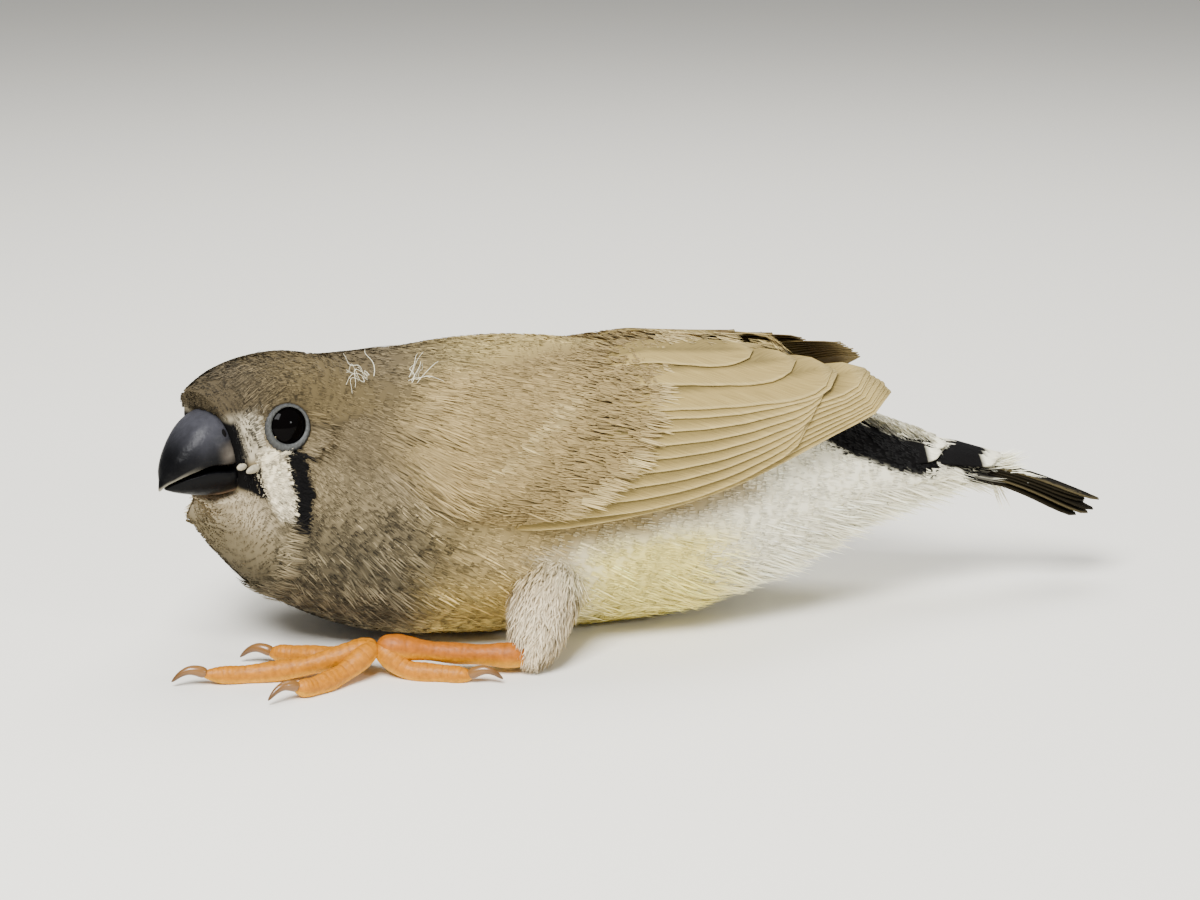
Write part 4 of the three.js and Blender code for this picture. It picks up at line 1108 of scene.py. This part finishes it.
def make_eye(side, name):
    """A glossy dark ball in a raised lid ring: a torus round the eye's axis, wider on one side, with small
    beads from a sine."""
    centre, axis = eye_axis(side)
    ahead = unit(FORWARD - axis * (FORWARD @ axis))
    above = -side * np.cross(axis, ahead)
    axes = np.stack([axis, ahead, above])
    radius = EYE["radius"] - 0.03
    eye = ball("eye_ball_" + name, centre, (radius,) * 3, EYE_BLACK, WET, axes, 36, 48)
    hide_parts("eye_" + name)
    rings, sides = 96, 18
    turn = (2 * np.pi * np.arange(rings) / rings)[:, None] * np.ones(sides)
    tube = (2 * np.pi * np.arange(sides) / sides)[None, :] * np.ones((rings, 1))
    wide = 1 + 0.42 * np.cos(turn + 0.25 * np.pi)
    beads = 1 + 0.1 * np.sin(turn * LID_RING["beads"]) * np.clip(np.cos(tube), 0, 1)
    thick = LID_RING["thick"] * wide * beads
    out = LID_RING["radius"] + 0.8 * thick * np.cos(tube)
    rise = LID_RING["out"] + 0.55 * thick * np.sin(tube)
    local = np.stack([rise, out * np.cos(turn), out * np.sin(turn)], -1)
    grid = centre + local @ axes
    i, j = np.meshgrid(np.arange(rings), np.arange(sides), indexing="ij")
    ni, nj = (i + 1) % rings, (j + 1) % sides
    quads = np.stack([i * sides + j, ni * sides + j, ni * sides + nj, i * sides + nj], -1).reshape(-1, 4)
    if side > 0:
        quads = quads[:, ::-1]
    # Painted shade darkens the ring's outer side, and painted highlights lighten the crowns of its beads,
    # with painted shade between them
    shade = tint(COLOUR["lid"] * 0.35, COLOUR["lid"], smooth(0.9, -0.2, np.cos(tube)))
    shade = shade * (1 + 0.25 * np.sin(turn * LID_RING["beads"]) * smooth(-0.2, 0.6, np.cos(tube)))[..., None]
    lid = make_object("lid_" + name, grid.reshape(-1, 3), quads, LID, shade.reshape(-1, 3))


for side, name in SIDES:
    make_eye(side, name)


# Legs

def limb_grid(points, radii, rings, sides, scale_size=0.0, scales=0):
    """Rings along a smooth curve through points, with a radius that follows radii and rounds both ends.
    Scales swell the upper side by a root of a sine, and knuckles swell all round by a sine's square."""
    rows = [(i / (len(points) - 1),) + tuple(p) for i, p in enumerate(points)]
    size = [(i / (len(radii) - 1), r) for i, r in enumerate(radii)]
    ring, turn = round_grid(rings, sides)
    t = (1 - np.cos(np.pi * ring)) / 2
    at = along(rows, t)
    forward = unit(along(rows, np.minimum(t + 0.01, 1)) - along(rows, np.maximum(t - 0.01, 0)))
    side = unit(np.cross(UP, forward))
    up = np.cross(forward, side)
    radius = level(size, t) * np.sqrt(np.clip(1 - (2 * t - 1) ** 8, 0, 1))
    if scales:
        above = np.clip(np.cos(turn) + 0.3, 0, 1)
        radius = radius * (1 + scale_size * (np.abs(np.sin(np.pi * scales * t)) ** 0.5 - 0.6) * above)
        radius = radius * (1 + 0.12 * np.sin(np.pi * 3 * t) ** 2 - 0.05)
    grid = at - side * (radius * np.sin(turn))[..., None] + up * (radius * np.cos(turn))[..., None]
    grid[..., 2] = np.maximum(grid[..., 2], 0.0)
    return grid, t, turn


def leg_tint(t, turn, scales, yellow):
    """Orange skin: yellower below and on the toes, with darker seams between the scales."""
    colour = tint(COLOUR["leg"], COLOUR["sole"], np.maximum(smooth(0.2, -0.8, np.cos(turn)), yellow))
    seam = smooth(0.28, 0.05, np.abs(np.sin(np.pi * scales * t))) * np.clip(np.cos(turn) + 0.4, 0, 1)
    return tint(colour, COLOUR["leg"] * 0.6, 0.45 * seam)


SHIN_MESH, SHANK_MESH, TOE_MESH, CLAW_MESH = (50, 40), (110, 30), (130, 28), (36, 20)  # rings and sides
SHIN_STRANDS = 5200
SHIN_SKIN_DEPTH = 0.45  # how deep the skin lies under the shin's feathers
TOE_SCALES = {"middle": 24, "outer": 15, "inner": 15, "hind": 15}
SHANK_SWELL, TOE_SWELL = 0.035, 0.06  # how far the scales stand up, as a share of the radius
CLAW_FLOOR = 0.25


def make_leg(name, leg):
    """Feathered shin, scaled tarsus, four scaled toes and their claws."""
    knee = tuple(mix(h, e, s) for h, e, s in zip(leg["hip"], leg["heel"], (0.5, 0.45, 0.4)))
    shin_line = (leg["hip"], knee, leg["heel"])
    thin = [r - SHIN_SKIN_DEPTH for r in TIBIA_RADIUS]
    grid, t, _ = limb_grid(shin_line, thin, *SHIN_MESH)
    # Painted shade: the skin under the shin's feathers is darkened
    shin = closed_tube("shin_" + name, grid, SKIN, COLOUR["tibia"] * 0.6)
    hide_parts("tibia_" + name)
    _, back, area = surface_frames(grid)
    normal = unit(grid - grid.mean(1, keepdims=True))
    count = SHIN_STRANDS
    chance = area.ravel() * (t.ravel() > 0.02) * (t.ravel() < 0.97)
    picked, place = pick(grid, chance, count)
    root, n, b = (rows.reshape(-1, 3)[picked] for rows in (grid, normal, back))
    b = unit(b + np.cross(n, b) * random.normal(0, 0.26, (count, 1)))
    low = smooth(0.22, 0.55, t.ravel()[picked])
    colour = tint(plumage(root, PLAIN), COLOUR["tibia"], low)
    colour = colour * random.uniform(0.72, 1.12, (count, 1))
    length, width = random.uniform(1.8, 3.4, count), random.uniform(0.12, 0.2, count)
    lift = random.uniform(0.3, 0.6, count) + low * random.uniform(0, 0.5, count)
    shadow = np.full(count, 0.75)
    strand_mesh("shin_coat_" + name, root, b, n, colour, length, width, lift, place, shadow, "plumage_white")
    half_way = tuple(mix(h, f, 0.5) for h, f in zip(leg["heel"][:2], leg["foot"][:2]))
    shank = (leg["heel"], half_way + (2.1,), leg["foot"])
    grid, t, turn = limb_grid(shank, TARSUS_RADIUS, *SHANK_MESH, SHANK_SWELL, TARSUS_SCALES)
    piece = closed_tube("shank_" + name, grid, FLESH, leg_tint(t, turn, TARSUS_SCALES, 0))
    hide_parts("tarsus_" + name)
    for toe, scales in TOE_SCALES.items():
        line = [leg["foot"]] + [(x, y, z - TOE_PRESS) for x, y, z in leg[toe]]
        grid, t, turn = limb_grid(line, TOE_RADIUS, *TOE_MESH, TOE_SWELL, scales)
        piece = closed_tube(f"{toe}_toe_{name}", grid, FLESH, leg_tint(t, turn, scales, 0.25))
        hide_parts(f"toe_{toe}_{name}")
        end, before = np.array(line[-1]), np.array(line[-2])
        ahead = unit((end - before) * (1, 1, 0))
        s = np.array([0, 0.25, 0.5, 0.75, 1.0])
        path = end + ahead * (CLAW_LENGTH * (s[:, None] - 0.16))
        arch = end[2] + 0.9 * np.sin(np.pi * s * 0.9) - (end[2] - CLAW_FLOOR) * s
        path[:, 2] = np.maximum(arch, CLAW_FLOOR)
        grid, t, _ = limb_grid(path, CLAW_RADIUS, *CLAW_MESH)
        colour = tint(COLOUR["claw"], COLOUR["claw"] * 0.45, smooth(0.35, 1.0, t))
        claw = closed_tube(f"{toe}_claw_{name}", grid, NAIL, colour)
        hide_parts(f"claw_{toe}_{name}")


for leg_name, leg in LEGS.items():
    make_leg(leg_name, leg)


# Stage, light and camera

CAMERA = {"azimuth": -12 * DEG, "elevation": 15 * DEG, "distance": 289.0, "target": (-3.1, 0.0, 17.0)}
LENS = 85.0
FLOOR_REACH = 2500.0


def paint(name, rgb, roughness):
    """A plain matte material for the stage."""
    return new_material(name, roughness, 0.15, {"Base Color": (*linear(rgb), 1)})[0]


def make_stage():
    """A plain pale floor: one square, wide enough to fill the picture."""
    points = np.array([(-1, -1, 0), (1, -1, 0), (1, 1, 0), (-1, 1, 0)]) * FLOOR_REACH
    floor = paint("pale stage", (238, 235, 225), 0.9)
    make_object("stage", points, np.array([[0, 1, 2, 3]]), floor, rides=False)


def area_light(name, place, power, size):
    """A soft square lamp that looks at the bird."""
    lamp = bpy.data.lights.new(name, "AREA")
    lamp.energy = power
    lamp.size = size * MM
    holder = add_object(name, lamp)
    holder.location = Vector(place) * MM
    holder.rotation_euler = (-holder.location).to_track_quat("-Z", "Y").to_euler()


def make_camera():
    """The camera at the photo's angle."""
    az, el = CAMERA["azimuth"], CAMERA["elevation"]
    back = np.array([np.sin(az) * np.cos(el), -np.cos(az) * np.cos(el), np.sin(el)])
    target = np.array(CAMERA["target"]) - ORIGIN
    data = bpy.data.cameras.new("camera")
    data.lens = LENS
    data.clip_start = 0.01
    camera = add_object("camera", data)
    camera.location = Vector((target + back * CAMERA["distance"]) * MM)
    camera.rotation_euler = Vector(back).to_track_quat("Z", "Y").to_euler()
    bpy.context.scene.camera = camera


make_stage()
area_light("key", (-150, -230, 340), 4.4, 200)
area_light("fill", (260, -300, 160), 0.5, 50)
area_light("back", (60, 180, 340), 1.3, 240)
make_camera()
world = bpy.data.worlds.new("soft light")
world.use_nodes = True
fill(world.node_tree.nodes["Background"], {"Color": (*linear((232, 233, 235)), 1), "Strength": 0.42})
bpy.context.scene.world = world
